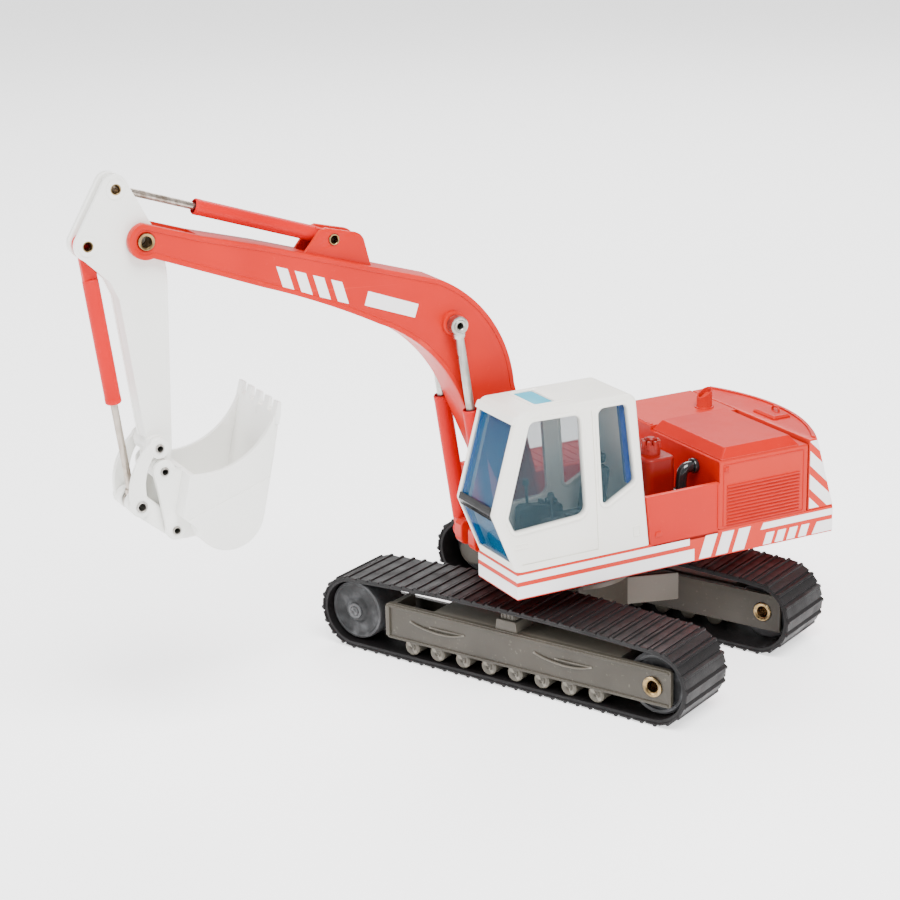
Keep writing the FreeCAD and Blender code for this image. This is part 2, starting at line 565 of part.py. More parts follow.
def strap_path(start, end, start_radius, end_radius):
    """A straight link round two pins, with a rounded end at each."""
    run = Vector(end[0] - start[0], end[1] - start[1], 0)
    run.normalize()
    across = Vector(-run.y, run.x, 0)
    first, last = Vector(*start, 0), Vector(*end, 0)
    far, near = last + run * end_radius, first - run * start_radius
    sides = [last + across * end_radius, last - across * end_radius,
             first - across * start_radius, first + across * start_radius]
    return [(sides[0].x, sides[0].y), (far.x, far.y, sides[1].x, sides[1].y),
            (sides[2].x, sides[2].y), (near.x, near.y, sides[3].x, sides[3].y)]


def make_links():
    for name, sign in (("left", 1), ("right", -1)):
        rocker = Piece("rocker_link_" + name)
        y = sign * size("link_middle")
        rocker.pad("XZ", y, "Sheet.link_width", [ROCKER_OUTLINE])
        rocker.pocket("XZ", y, "5", circles=[(*ROCKER_PIVOT, "Sheet.link_pin_radius + Sheet.running_fit"),
                                             (*LINK_PIN, "Sheet.pin_radius + Sheet.pin_fit")])
    coupler = Piece("coupler")
    coupler.pad("XZ", 0, "Sheet.coupler_width", [strap_path(LINK_PIN, COUPLER_PIN, 2.2, 1.9)])
    coupler.pocket("XZ", 0, "Sheet.coupler_slot", circles=[(*LINK_PIN, "Sheet.coupler_reach")])
    coupler.pocket("XZ", 0, "20", circles=[(*LINK_PIN, "Sheet.coupler_free_radius"),
                                           (*COUPLER_PIN, "Sheet.link_pin_radius + Sheet.running_fit")])


def make_bucket():
    bucket = Piece("bucket")
    outline = [
        (91.0, 56.9), (92.9, 48.6), (90.2, 46.1), (89.5, 43.8), (81.8, 40.4, 76.0, 46.2), (73.3, 58.0),
        (71.6, 66.9), (72.9, 66.6), (79.2, 58.9, 88.0, 56.7),
    ]
    hollow = [
        (89.85, 60.0), (89.85, 56.5), (91.2, 49.9), (88.3, 45.0), (82.1, 41.5, 77.2, 46.6),
        (74.5, 58.4), (72.8, 66.6), (73.0, 72.0), (88.0, 72.0),
    ]
    bucket.pad("XZ", 0, "Sheet.bucket_width", [outline])
    bucket.pocket("XZ", 0, "Sheet.bucket_width - 2 * Sheet.bucket_wall", [hollow])
    ear = [
        (90.4, 56.7), (91.9, 49.2), (89.2, 45.3), (88.3, 42.9), (92.5, 42.9), (94.6, 43.8, 94.9, 45.6),
        (96.1, 53.3), (96.8, 56.9), (95.0, 59.5, 92.3, 57.8),
    ]
    for sign in (-1, 1):
        bucket.pad("XZ", sign * size("link_middle"), "Sheet.link_width", [ear])
    tooth = [(73.7, 63.3), (73.3, 66.4), (72.0, 69.0), (71.2, 68.7), (71.5, 66.0), (72.2, 62.9)]
    for step in range(-2, 3):
        bucket.pad("XZ", step * size("tooth_pitch"), "Sheet.tooth_width", [tooth])
    bucket.pocket("XZ", 0, "Sheet.link_rivet_length + 1", circles=[
        (*BUCKET_PIVOT, "Sheet.link_pin_radius + Sheet.running_fit"),
        (*COUPLER_PIN, "Sheet.link_pin_radius + Sheet.pin_fit")])


make_stick()
make_links()
make_bucket()
for rivet_name, rivet_pin in (("stick_top_rivet", STICK_TOP), ("bucket_cylinder_rivet", BUCKET_CYLINDER_TOP)):
    cross_pin(rivet_name, rivet_pin, "Sheet.pin_radius", "Sheet.stick_rivet_length",
              "Sheet.small_rivet_hole")
for rivet_name, rivet_pin in (("rocker_rivet", ROCKER_PIVOT), ("bucket_rivet", BUCKET_PIVOT),
                              ("coupler_rivet", COUPLER_PIN)):
    cross_pin(rivet_name, rivet_pin, "Sheet.link_pin_radius", "Sheet.link_rivet_length",
              "Sheet.link_pin_hole")
cross_pin("link_rivet", LINK_PIN, "Sheet.pin_radius", "Sheet.link_rivet_length", "Sheet.small_rivet_hole")

# ---------------------------------------------------------------- place, check and write

for piece in subparts:
    if isinstance(piece, Piece):
        piece.body.Placement = piece.where
doc.recompute()
for thing in doc.Objects:
    if "Invalid" in thing.State or "Error" in thing.State:
        raise RuntimeError(f"{thing.Label} failed: {thing.State}")
os.makedirs("parts", exist_ok=True)
for piece in subparts:
    thing = piece.body if isinstance(piece, Piece) else piece
    if thing.Shape.isNull() or not thing.Shape.isValid():
        raise RuntimeError(f"{thing.Label} has no valid shape")
    thing.Shape.exportStep(f"parts/{thing.Label}.step")
    print(f"{thing.Label}: {thing.Shape.Volume:.1f} mm3, {len(thing.Shape.Solids)} solid(s)")
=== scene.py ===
"""Looks of the toy crawler excavator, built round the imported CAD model.

Shapes are drawn in millimetres, either in the ground frame (the row frame) or in the upper frame,
whose x points forward and y to the left of the slewing upper structure, and become pieces in
metres. Places come from the frame's joints and node boxes.
"""
import bmesh
import bpy
import json
import math
from mathutils import Matrix, Vector
from mathutils.geometry import tessellate_polygon


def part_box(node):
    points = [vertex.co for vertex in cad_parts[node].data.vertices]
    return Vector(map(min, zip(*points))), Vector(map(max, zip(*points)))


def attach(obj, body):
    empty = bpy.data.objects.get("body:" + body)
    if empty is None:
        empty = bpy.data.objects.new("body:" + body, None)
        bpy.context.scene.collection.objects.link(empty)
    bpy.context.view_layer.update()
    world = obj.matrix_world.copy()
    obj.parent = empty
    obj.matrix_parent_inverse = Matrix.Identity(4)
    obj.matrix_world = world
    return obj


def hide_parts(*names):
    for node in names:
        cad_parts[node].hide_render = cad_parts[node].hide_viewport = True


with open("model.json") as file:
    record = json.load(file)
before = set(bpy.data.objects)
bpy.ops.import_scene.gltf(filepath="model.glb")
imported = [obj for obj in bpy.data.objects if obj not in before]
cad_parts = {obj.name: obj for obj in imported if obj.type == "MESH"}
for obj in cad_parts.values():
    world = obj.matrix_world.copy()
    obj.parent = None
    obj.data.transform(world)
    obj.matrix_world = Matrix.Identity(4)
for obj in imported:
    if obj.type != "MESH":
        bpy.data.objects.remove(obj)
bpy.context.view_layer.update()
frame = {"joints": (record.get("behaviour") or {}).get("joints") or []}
MM = 0.001
SHARP = math.radians(38)
WELD = 1e-5
TINY = 1e-6

# ---------------------------------------------------------------- places from the frame

JOINTS = {joint["name"]: joint for joint in frame["joints"]}
HINGE_AXIS = Vector(JOINTS["boom_lift"]["axis"])
GROUND = Matrix.Identity(4)
UPPER = Matrix.Rotation(math.atan2(HINGE_AXIS.x, -HINGE_AXIS.y), 4, "Z")


def pin(joint_name):
    """A pin's x and z in the upper frame."""
    place = UPPER.inverted() @ Vector(JOINTS[joint_name]["pos_m"]) / MM
    return (place.x, place.z)


FOOT = pin("boom_lift")
BOOM_CYLINDER_BASE = pin("boom_barrel_tilt")
BOOM_CYLINDER_EYE = pin("boom_rod_tilt")
TIP = pin("stick_swing")
EAR = pin("stick_barrel_tilt")
STICK_TOP = pin("stick_rod_tilt")
BUCKET_CYLINDER_TOP = pin("bucket_barrel_tilt")
ROCKER_PIVOT = pin("rocker_swing")
LINK_PIN = pin("bucket_rod_tilt")
BUCKET_PIVOT = pin("bucket_curl")
COUPLER_PIN = pin("coupler_swing")
WHEEL_X, WHEEL_Z = (JOINTS["idler_spin_left"]["pos_m"][n] / MM for n in (0, 2))

# ---------------------------------------------------------------- outlines


def arc(start, middle, end, steps):
    """Points after start on the circle through three points, up to and with end."""
    (ax, ay), (bx, by), (cx, cy) = start, middle, end
    d = 2 * (ax * (by - cy) + bx * (cy - ay) + cx * (ay - by))
    ux = ((ax * ax + ay * ay) * (by - cy) + (bx * bx + by * by) * (cy - ay)
          + (cx * cx + cy * cy) * (ay - by)) / d
    uy = ((ax * ax + ay * ay) * (cx - bx) + (bx * bx + by * by) * (ax - cx)
          + (cx * cx + cy * cy) * (bx - ax)) / d
    radius = math.hypot(ax - ux, ay - uy)
    first = math.atan2(ay - uy, ax - ux)
    turn = (math.atan2(cy - uy, cx - ux) - first) % math.tau
    if (math.atan2(by - uy, bx - ux) - first) % math.tau > turn:
        turn -= math.tau
    angles = [first + turn * n / steps for n in range(1, steps + 1)]
    return [(ux + radius * math.cos(a), uy + radius * math.sin(a)) for a in angles]


def drawn(path, steps=14):
    """A closed loop from corners (two numbers) and arcs (middle and end, four numbers)."""
    points = []
    last = path[-1][-2:]
    for step in path:
        points += [step] if len(step) == 2 else arc(last, step[:2], step[2:], steps)
        last = step[-2:]
    if math.dist(points[0], points[-1]) < TINY:
        points.pop()
    return points


def rounded(corners, steps=6):
    """A closed loop whose corners are (x, y, radius)."""
    points = []
    for index, (x, y, radius) in enumerate(corners):
        here = Vector((x, y))
        if radius == 0:
            points.append((x, y))
            continue
        back = (Vector(corners[index - 1][:2]) - here).normalized()
        ahead = (Vector(corners[(index + 1) % len(corners)][:2]) - here).normalized()
        half = back.angle(ahead) / 2
        first = here + back * (radius / math.tan(half))
        last = here + ahead * (radius / math.tan(half))
        middle = here + (back + ahead).normalized() * (radius / math.sin(half) - radius)
        points.append(tuple(first))
        points += arc(tuple(first), tuple(middle), tuple(last), steps)
    return points


def circle(x, y, radius, count=40):
    """A closed round loop."""
    return [(x + radius * math.cos(math.tau * n / count), y + radius * math.sin(math.tau * n / count))
            for n in range(count)]


def rectangle(x0, y0, x1, y1, radius=0.0):
    return rounded([(x0, y0, radius), (x1, y0, radius), (x1, y1, radius), (x0, y1, radius)])


def area(loop):
    """Signed area, positive where the loop runs anticlockwise."""
    return sum(a[0] * b[1] - b[0] * a[1] for a, b in zip(loop, loop[1:] + loop[:1])) / 2


def grown(loop, distance):
    """The loop moved outward by distance, or inward where it's negative, with mitred corners."""
    sign = 1 if area(loop) > 0 else -1
    result = []
    for index, point in enumerate(loop):
        here = Vector(point)
        back = (here - Vector(loop[index - 1])).normalized()
        ahead = (Vector(loop[(index + 1) % len(loop)]) - here).normalized()
        normal = Vector((back.y + ahead.y, -back.x - ahead.x))
        if normal.length < TINY:
            normal = Vector((ahead.y, -ahead.x))
        normal.normalize()
        stretch = max(0.5, normal.dot(Vector((ahead.y, -ahead.x))))
        result.append(tuple(here + normal * sign * distance / stretch))
    return result


def strap(start, end, start_radius, end_radius, steps=14):
    """A link's outline round two pins."""
    run = (Vector(end) - Vector(start)).normalized()
    side = Vector((-run.y, run.x))
    far, near = Vector(end) + run * end_radius, Vector(start) - run * start_radius
    a, b = Vector(end) + side * end_radius, Vector(end) - side * end_radius
    c, d = Vector(start) - side * start_radius, Vector(start) + side * start_radius
    return drawn([tuple(a), (*far, *b), tuple(c), (*near, *d)], steps)


# ---------------------------------------------------------------- solids

PLANES = {
    "XY": Matrix(((1, 0, 0, 0), (0, 1, 0, 0), (0, 0, 1, 0), (0, 0, 0, 1))),
    "XZ": Matrix(((1, 0, 0, 0), (0, 0, -1, 0), (0, 1, 0, 0), (0, 0, 0, 1))),
    "YZ": Matrix(((0, 0, 1, 0), (1, 0, 0, 0), (0, 1, 0, 0), (0, 0, 0, 1))),
}


def along(plane, at):
    """The plane's matrix, moved to a distance along its own axis."""
    return PLANES[plane] @ Matrix.Translation((0, 0, -at if plane == "XZ" else at))


def across(at, y=0.0):
    """Matrix of an axis across the arm, through a pin."""
    return Matrix.Translation((at[0], y, at[1])) @ PLANES["XZ"]


def aimed(pin_at, other, y=0.0):
    """Matrix whose local x runs from one arm pin towards another and whose local z crosses the arm."""
    turn = math.atan2(other[1] - pin_at[1], other[0] - pin_at[0])
    return across(pin_at, y) @ Matrix.Rotation(turn, 4, "Z")


class Shape:
    """Closed solids drawn in millimetres, which together become one piece."""

    def __init__(self, where=UPPER):
        self.mesh = bmesh.new()
        self.where = where

    def layers(self, matrix, sections):
        """Stacks sections, each (height, loops), and closes both ends."""
        rings = []
        for height, loops in sections:
            rings.append([[self.mesh.verts.new(matrix @ Vector((x, y, height))) for x, y in loop]
                          for loop in loops])
        for low, high in zip(rings, rings[1:]):
            for below, above in zip(low, high):
                for n in range(len(below)):
                    self.mesh.faces.new((below[n - 1], below[n], above[n], above[n - 1]))
        for (height, loops), ring in ((sections[0], rings[0]), (sections[-1], rings[-1])):
            verts = [vert for loop in ring for vert in loop]
            flat = [[Vector((x, y, 0)) for x, y in loop] for loop in loops]
            if len(loops) == 1 and len(verts) == 4:
                self.mesh.faces.new(verts)
                continue
            for triangle in tessellate_polygon(flat):
                corners = [verts[n] for n in triangle]
                if len(set(corners)) == 3:
                    self.mesh.faces.new(corners)
        return self

    def plate(self, at, thickness, outer, holes=(), bevel=0.15, matrix=None, facets=2):
        """An upright part across y with rounded edges, centred at a distance along y or in a matrix."""
        place = matrix or along("XZ", at)
        outer = outer if area(outer) > 0 else outer[::-1]
        holes = [hole if area(hole) < 0 else hole[::-1] for hole in holes]
        half = thickness / 2
        turns = [math.pi / 2 * n / facets for n in range(facets, -1, -1)]
        steps = [(bevel * (1 - math.sin(turn)), bevel * (1 - math.cos(turn))) for turn in turns]
        steps = steps if bevel else [(0.0, 0.0)]
        sections = []
        for side in (-1, 1):
            for depth, inset in steps if side < 0 else steps[::-1]:
                loops = [grown(outer, -inset)] + [grown(hole, inset) for hole in holes]
                sections.append((side * (half - depth), loops))
        return self.layers(place, sections)

    def flat(self, at, thickness, outer, holes=(), bevel=0.15, facets=2):
        """The same for a level part, centred at a height."""
        return self.plate(0, thickness, outer, holes, bevel, along("XY", at), facets)

    def block(self, low, high, corner=0.4, bevel=0.2):
        """A rounded block between two corners, with its upright edges rounded by corner."""
        middle = (low[2] + high[2]) / 2
        outline = rectangle(low[0], low[1], high[0], high[1], corner)
        return self.flat(middle, high[2] - low[2], outline, bevel=bevel)

    def lathe(self, matrix, profile, count=48):
        """A closed profile of (radius, height) points turned about the matrix's z axis."""
        rings = []
        for n in range(count):
            x, y = math.cos(math.tau * n / count), math.sin(math.tau * n / count)
            rings.append([self.mesh.verts.new(matrix @ Vector((r * x, r * y, h))) for r, h in profile])
        for n in range(count):
            for m in range(len(profile)):
                quad = (rings[n - 1][m - 1], rings[n][m - 1], rings[n][m], rings[n - 1][m])
                if profile[m - 1][0] > 0 or profile[m][0] > 0:
                    self.mesh.faces.new(quad)
        return self

    def tube(self, points, radius, count=10):
        """A round bar along a smooth run of points, with flat ends."""
        curve = bpy.data.curves.new("path", "CURVE")
        curve.dimensions = "3D"
        spline = curve.splines.new("NURBS")
        spline.points.add(len(points) - 1)
        for knot, point in zip(spline.points, points):
            knot.co = (*point, 1)
        spline.order_u = 3
        spline.use_endpoint_u = True
        spline.resolution_u = 8
        curve.bevel_depth = radius
        curve.bevel_resolution = count // 4
        curve.use_fill_caps = True
        holder = bpy.data.objects.new("path", curve)
        data = bpy.data.meshes.new_from_object(holder)
        self.mesh.from_mesh(data)
        bpy.data.objects.remove(holder)
        bpy.data.curves.remove(curve)
        bpy.data.meshes.remove(data)
        return self

    def cut(self, other):
        """Takes another shape's solids away from this one."""
        holders = []
        for label, shape in (("body", self), ("cutter", other)):
            bmesh.ops.recalc_face_normals(shape.mesh, faces=shape.mesh.faces)
            data = bpy.data.meshes.new(label)
            shape.mesh.to_mesh(data)
            shape.mesh.free()
            holder = bpy.data.objects.new(label, data)
            bpy.context.scene.collection.objects.link(holder)
            holders.append(holder)
        body, cutter = holders
        boolean = body.modifiers.new("cut", "BOOLEAN")
        boolean.operation = "DIFFERENCE"
        boolean.solver = "EXACT"
        boolean.use_self = True
        boolean.object = cutter
        bpy.context.view_layer.update()
        evaluated = body.evaluated_get(bpy.context.evaluated_depsgraph_get())
        result = bpy.data.meshes.new_from_object(evaluated)
        self.mesh = bmesh.new()
        self.mesh.from_mesh(result)
        for holder in holders:
            data = holder.data
            bpy.data.objects.remove(holder)
            bpy.data.meshes.remove(data)
        bpy.data.meshes.remove(result)
        return self

    def data(self, name):
        """The solids as a mesh in metres in the row frame, smooth except at its sharp edges."""
        bmesh.ops.remove_doubles(self.mesh, verts=self.mesh.verts, dist=WELD)
        bmesh.ops.recalc_face_normals(self.mesh, faces=self.mesh.faces)
        bmesh.ops.transform(self.mesh, matrix=Matrix.Scale(MM, 4) @ self.where, verts=self.mesh.verts)
        for face in self.mesh.faces:
            face.smooth = True
        for edge in self.mesh.edges:
            edge.smooth = not edge.is_manifold or edge.calc_face_angle(0) < SHARP
        mesh = bpy.data.meshes.new(name)
        self.mesh.to_mesh(mesh)
        self.mesh.free()
        return mesh

    def piece(self, name, body, material, slot, replaces=()):
        """Makes the solids one piece that rides on a body and takes the place of CAD nodes."""
        made = bpy.data.objects.new(name, self.data(name))
        bpy.context.scene.collection.objects.link(made)
        made.data.materials.append(material)
        made.modifiers.new("normals", "WEIGHTED_NORMAL").keep_sharp = True
        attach(made, body)
        if replaces:
            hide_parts(*replaces)


def ring_profile(inner, outer, low, high, lip):
    """A bush's section with rounded rims."""
    return [(inner + lip, low), (outer - lip, low), (outer - lip * 0.3, low + lip * 0.3),
            (outer, low + lip), (outer, high - lip), (outer - lip * 0.3, high - lip * 0.3),
            (outer - lip, high), (inner + lip, high), (inner + lip * 0.3, high - lip * 0.3),
            (inner, high - lip), (inner, low + lip), (inner + lip * 0.3, low + lip * 0.3)]


def facing(x, y, z, sign):
    """Matrix of a sideways axis at a point, whose z points outward on that side."""
    return Matrix.Translation((x, y, z)) @ Matrix.Rotation(-sign * math.pi / 2, 4, "X")


# ---------------------------------------------------------------- materials


class Look:
    """A procedural material: a Principled shader fed by patterns in the part's own metres."""

    def __init__(self, name, colour, roughness, metallic=0.0, coat=0.0, specular=0.5):
        self.material = bpy.data.materials.new(name)
        self.material.use_nodes = True
        self.tree = self.material.node_tree
        self.shader = self.tree.nodes["Principled BSDF"]
        self.shader.inputs["Base Color"].default_value = (*colour, 1)
        self.shader.inputs["Roughness"].default_value = roughness
        self.shader.inputs["Metallic"].default_value = metallic
        self.shader.inputs["Coat Weight"].default_value = coat
        self.shader.inputs["Coat Roughness"].default_value = 0.08
        self.shader.inputs["Specular IOR Level"].default_value = specular
        self.place = self.tree.nodes.new("ShaderNodeTexCoord").outputs["Object"]
        self.colour = None

    def node(self, kind, **values):
        made = self.tree.nodes.new(kind)
        for key, value in values.items():
            if hasattr(made, key):
                setattr(made, key, value)
            else:
                made.inputs[key.replace("_", " ")].default_value = value
        return made

    def link(self, output, target):
        self.tree.links.new(output, target)

    def noise(self, per_metre, detail, stretch=None):
        made = self.node("ShaderNodeTexNoise", Scale=per_metre, Detail=detail)
        source = self.place
        if stretch:
            scaled = self.node("ShaderNodeMapping")
            scaled.inputs["Scale"].default_value = stretch
            self.link(source, scaled.inputs["Vector"])
            source = scaled.outputs["Vector"]
        self.link(source, made.inputs["Vector"])
        return made.outputs["Fac"]

    def ramp(self, factor, *stops):
        """Colour stops, each (position, colour), along a factor."""
        made = self.node("ShaderNodeValToRGB")
        elements = made.color_ramp.elements
        while len(elements) < len(stops):
            elements.new(0.5)
        for element, (position, colour) in zip(elements, stops):
            element.position = position
            element.color = (*colour, 1)
        self.link(factor, made.inputs["Fac"])
        return made.outputs["Color"]

    def paint(self, output):
        self.colour = output
        self.link(output, self.shader.inputs["Base Color"])

    def over(self, factor, colour):
        """Lays a colour over what is there, by a factor."""
        made = self.node("ShaderNodeMix", data_type="RGBA")
        self.link(factor, made.inputs[0])
        self.link(self.colour, made.inputs[6])
        made.inputs[7].default_value = (*colour, 1)
        self.paint(made.outputs[2])

    def spread(self, factor, low, high, start=0.3, end=0.7):
        made = self.node("ShaderNodeMapRange")
        for key, value in (("From Min", start), ("From Max", end), ("To Min", low), ("To Max", high)):
            made.inputs[key].default_value = value
        self.link(factor, made.inputs["Value"])
        return made.outputs["Result"]

    def base(self, per_metre, detail, *stops, stretch=None):
        """The main colour, from colour stops along a noise."""
        self.paint(self.ramp(self.noise(per_metre, detail, stretch), *stops))

    def flecks(self, per_metre, detail, most, start, end, colour):
        """Spots of a colour where a noise is high."""
        self.over(self.spread(self.noise(per_metre, detail), 0.0, most, start, end), colour)

    def rough(self, per_metre, detail, low, high):
        """Roughness that wanders between two values."""
        self.link(self.spread(self.noise(per_metre, detail), low, high), self.shader.inputs["Roughness"])

    def edges(self, colour, start=0.53, end=0.6, most=0.6):
        """Thin wear or a lighter tone where the mesh has sharp outer edges."""
        point = self.node("ShaderNodeNewGeometry").outputs["Pointiness"]
        self.over(self.spread(point, 0.0, most, start, end), colour)

    def bump(self, per_metre, detail, strength, distance=0.0002, stretch=None):
        """A fine relief, laid on last; gives back the finished material."""
        factor = self.noise(per_metre, detail, stretch)
        made = self.node("ShaderNodeBump", Strength=strength, Distance=distance)
        self.link(factor, made.inputs["Height"])
        self.link(made.outputs["Normal"], self.shader.inputs["Normal"])
        return self.material


def gloss_paint(name, colour, shade, edge, roughness=0.3, coat=0.35, grain=0.05, specular=0.3):
    """Sprayed or moulded colour with slow tone changes, an orange-peel skin and lighter edges."""
    look = Look(name, colour, roughness, coat=coat, specular=specular)
    look.base(55, 2.0, (0.32, shade), (0.62, colour))
    look.flecks(900, 6.0, 0.25, 0.66, 0.72, edge)
    look.edges(edge)
    look.rough(160, 4.0, roughness - 0.06, roughness + 0.1)
    return look.bump(1400, 2.0, grain)


def belt_rubber():
    """Black moulded rubber with light dust in it and random brownish patches, a painted sheen."""
    look = Look("belt_rubber", (0.008, 0.007, 0.007), 0.5, specular=0.25)
    # painted sheen: the brownish tone stands in for light on the pads, laid at random over the whole
    # belt
    look.base(45, 3.0, (0.35, (0.0035, 0.0032, 0.0035)), (0.68, (0.0052, 0.004, 0.0042)))
    look.flecks(1500, 5.0, 0.3, 0.66, 0.78, (0.05, 0.042, 0.042))
    look.edges((0.028, 0.025, 0.025), 0.53, 0.64, 0.4)
    look.rough(220, 4.0, 0.38, 0.62)
    return look.bump(2600, 3.0, 0.25)


def cast_grey():
    """Mottled grey wheels: tumbled castings with pale streaks."""
    look = Look("cast_grey", (0.06, 0.06, 0.06), 0.55, specular=0.3)
    look.base(330, 8.0, (0.36, (0.006, 0.0062, 0.0068)), (0.52, (0.015, 0.0155, 0.0165)),
              (0.68, (0.05, 0.051, 0.054)))
    look.edges((0.14, 0.14, 0.145), 0.52, 0.6, 0.5)
    look.rough(500, 4.0, 0.4, 0.7)
    return look.bump(700, 5.0, 0.35)


def frame_paint():
    """Taupe-grey enamel with a fine satin grain and pale, slightly chipped edges."""
    look = Look("frame_paint", (0.1, 0.09, 0.07), 0.42, coat=0.08, specular=0.3)
    look.base(70, 3.0, (0.3, (0.034, 0.029, 0.021)), (0.66, (0.050, 0.043, 0.032)))
    look.flecks(1100, 6.0, 0.3, 0.64, 0.72, (0.15, 0.135, 0.105))
    look.edges((0.24, 0.22, 0.18), 0.53, 0.62, 0.6)
    look.rough(180, 4.0, 0.34, 0.52)
    return look.bump(1300, 3.0, 0.1)


def worn_steel(name, light, dark, stain, lengthwise):
    """Drawn steel with lengthwise scratches and stains; lengthwise stretches the pattern along it."""
    look = Look(name, light, 0.3, metallic=1.0)
    look.base(900, 4.0, (0.34, dark), (0.6, light), stretch=lengthwise)
    look.flecks(260, 5.0, 0.8, 0.55, 0.68, stain)
    look.rough(500, 4.0, 0.24, 0.5)
    return look.bump(2200, 2.0, 0.08, stretch=lengthwise)


def rivet_brass():
    """Turned brass, browner in random patches."""
    look = Look("rivet_brass", (0.66, 0.44, 0.17), 0.28, metallic=1.0)
    look.base(700, 4.0, (0.34, (0.07, 0.042, 0.018)), (0.58, (0.27, 0.175, 0.075)))
    look.edges((0.5, 0.38, 0.2), 0.52, 0.6, 0.5)
    look.rough(600, 3.0, 0.18, 0.4)
    return look.bump(1500, 2.0, 0.1)


def tinted(name, colour, opacity, roughness=0.05):
    """Clear tinted plastic with faint waves in its surface; opacity is that of one of its two faces."""
    look = Look(name, colour, roughness, specular=0.12)
    look.shader.inputs["Alpha"].default_value = opacity
    look.base(80, 2.0, (0.35, tuple(c * 0.8 for c in colour)), (0.65, colour))
    return look.bump(160, 2.0, 0.06, 0.0004)


RED = gloss_paint("red_enamel", (0.52, 0.008, 0.002), (0.46, 0.006, 0.0015), (0.62, 0.04, 0.02), 0.34,
                  0.02, 0.05, 0.16)
RED_PLASTIC = gloss_paint("red_plastic", (0.47, 0.007, 0.002), (0.41, 0.005, 0.0015),
                          (0.56, 0.035, 0.018), 0.38, 0.02, 0.05, 0.14)
DEEP_RED = gloss_paint("deep_red_plastic", (0.20, 0.004, 0.0015), (0.15, 0.003, 0.001),
                       (0.3, 0.02, 0.015), 0.36, 0.02, 0.05, 0.2)
CYLINDER_RED = gloss_paint("cylinder_red", (0.56, 0.002, 0.003), (0.49, 0.0015, 0.002),
                           (0.62, 0.02, 0.02), 0.38, 0.0, 0.05, 0.14)
WHITE = gloss_paint("white_enamel", (0.88, 0.88, 0.84), (0.82, 0.82, 0.78), (0.9, 0.9, 0.88), 0.32, 0.2)
CAB_WHITE = gloss_paint("cab_white", (0.90, 0.88, 0.81), (0.86, 0.84, 0.77), (0.92, 0.91, 0.88), 0.34,
                        0.15, 0.03)
STRIPE = gloss_paint("stripe_white", (0.88, 0.84, 0.84), (0.84, 0.79, 0.79), (0.92, 0.9, 0.9), 0.36, 0.1,
                     0.03)
RUBBER = belt_rubber()
CAST = cast_grey()
FRAME_PAINT = frame_paint()
BRASS = rivet_brass()
STEEL = worn_steel("pale_steel", (0.50, 0.49, 0.46), (0.30, 0.285, 0.26), (0.28, 0.25, 0.21),
                   (1, 1, 0.08))
BROWN_STEEL = worn_steel("brown_steel", (0.42, 0.37, 0.32), (0.22, 0.18, 0.15), (0.15, 0.105, 0.075),
                         (1, 1, 0.1))
GLAZING = tinted("blue_glazing", (0.045, 0.085, 0.105), 0.3)
SCREEN = tinted("blue_screen", (0.0, 0.085, 0.19), 0.5)
# painted glow: a strong blue that stands in for light caught in the edges of the panes
PAINTED_EDGE_GLOW = tinted("blue_edge_painted_glow", (0.0, 0.04, 0.34), 0.9, 0.12)
HATCH_BLUE = tinted("hatch_blue", (0.08, 0.50, 0.68), 0.8, 0.1)
INTERIOR = gloss_paint("interior_plastic", (0.008, 0.012, 0.017), (0.005, 0.008, 0.011),
                       (0.03, 0.04, 0.05), 0.45, 0.0)
BLACK = gloss_paint("black_gloss", (0.008, 0.008, 0.009), (0.006, 0.006, 0.007), (0.05, 0.05, 0.05),
                    0.14, 0.6, 0.04)

# ---------------------------------------------------------------- undercarriage

PAD_COUNT = 66
BELT_RADIUS = 8.0
BELT_INNER = 6.97
BELT_WIDTH = 16.4
BELT_ARCH = 1.2
TRACK_Y = 22.0
UPSIDE_DOWN = Matrix.Rotation(math.pi, 4, "X")
SIDES = (("left", 1), ("right", -1))


def arch(x):
    """How far the carrier block lifts the belt's upper run at x."""
    return BELT_ARCH * (1 - (x / WHEEL_X) ** 2)


def stadium(radius, steps=20):
    """The belt's run round both wheels at a radius, with its arched upper run."""
    low, high = WHEEL_Z - radius, WHEEL_Z + radius
    upper = [(WHEEL_X * (1 - n / 10), high + arch(WHEEL_X * (1 - n / 10))) for n in range(1, 21)]
    return drawn([(WHEEL_X, low), (WHEEL_X + radius, WHEEL_Z, WHEEL_X, high), *upper,
                  (-WHEEL_X - radius, WHEEL_Z, -WHEEL_X, low)], steps)


def belt_point(distance, radius):
    """Place and heading on the belt, from the start of its upper run."""
    straight, bend = 2 * WHEEL_X, math.pi * radius
    half = distance % (straight + bend)
    flip = 1 if distance % (2 * (straight + bend)) < straight + bend else -1
    if half < straight:
        x, z, turn = WHEEL_X - half, radius, math.pi
    else:
        turn = math.pi + (half - straight) / radius
        x, z = -WHEEL_X + radius * math.sin(turn), -radius * math.cos(turn)
    lift = arch(x) if flip > 0 and half < straight else 0.0
    return (flip * x, WHEEL_Z + flip * z + lift), turn + (0 if flip > 0 else math.pi)


def make_tracks():
    """Two belts, each an arched band with pads."""
    pad = [(-1.42, -0.25), (1.42, -0.25), (1.36, 0.12), (-0.35, 0.16), (-0.5, 0.47), (-0.95, 0.47),
           (-1.2, 0.14)]
    length = 2 * (2 * WHEEL_X + math.pi * BELT_RADIUS)
    for side, sign in SIDES:
        belt = Shape(GROUND)
        middle = sign * TRACK_Y
        belt.plate(middle, BELT_WIDTH - 0.5, stadium(BELT_RADIUS), [stadium(BELT_INNER)], 0.2)
        for n in range(PAD_COUNT):
            (x, z), turn = belt_point(length * n / PAD_COUNT, BELT_RADIUS)
            place = across((x, z), middle) @ Matrix.Rotation(turn, 4, "Z") @ UPSIDE_DOWN
            belt.plate(0, BELT_WIDTH, pad, bevel=0.08, matrix=place)
        belt.piece("belt_" + side, "undercarriage", RUBBER, "belt_rubber", ["track_" + side])


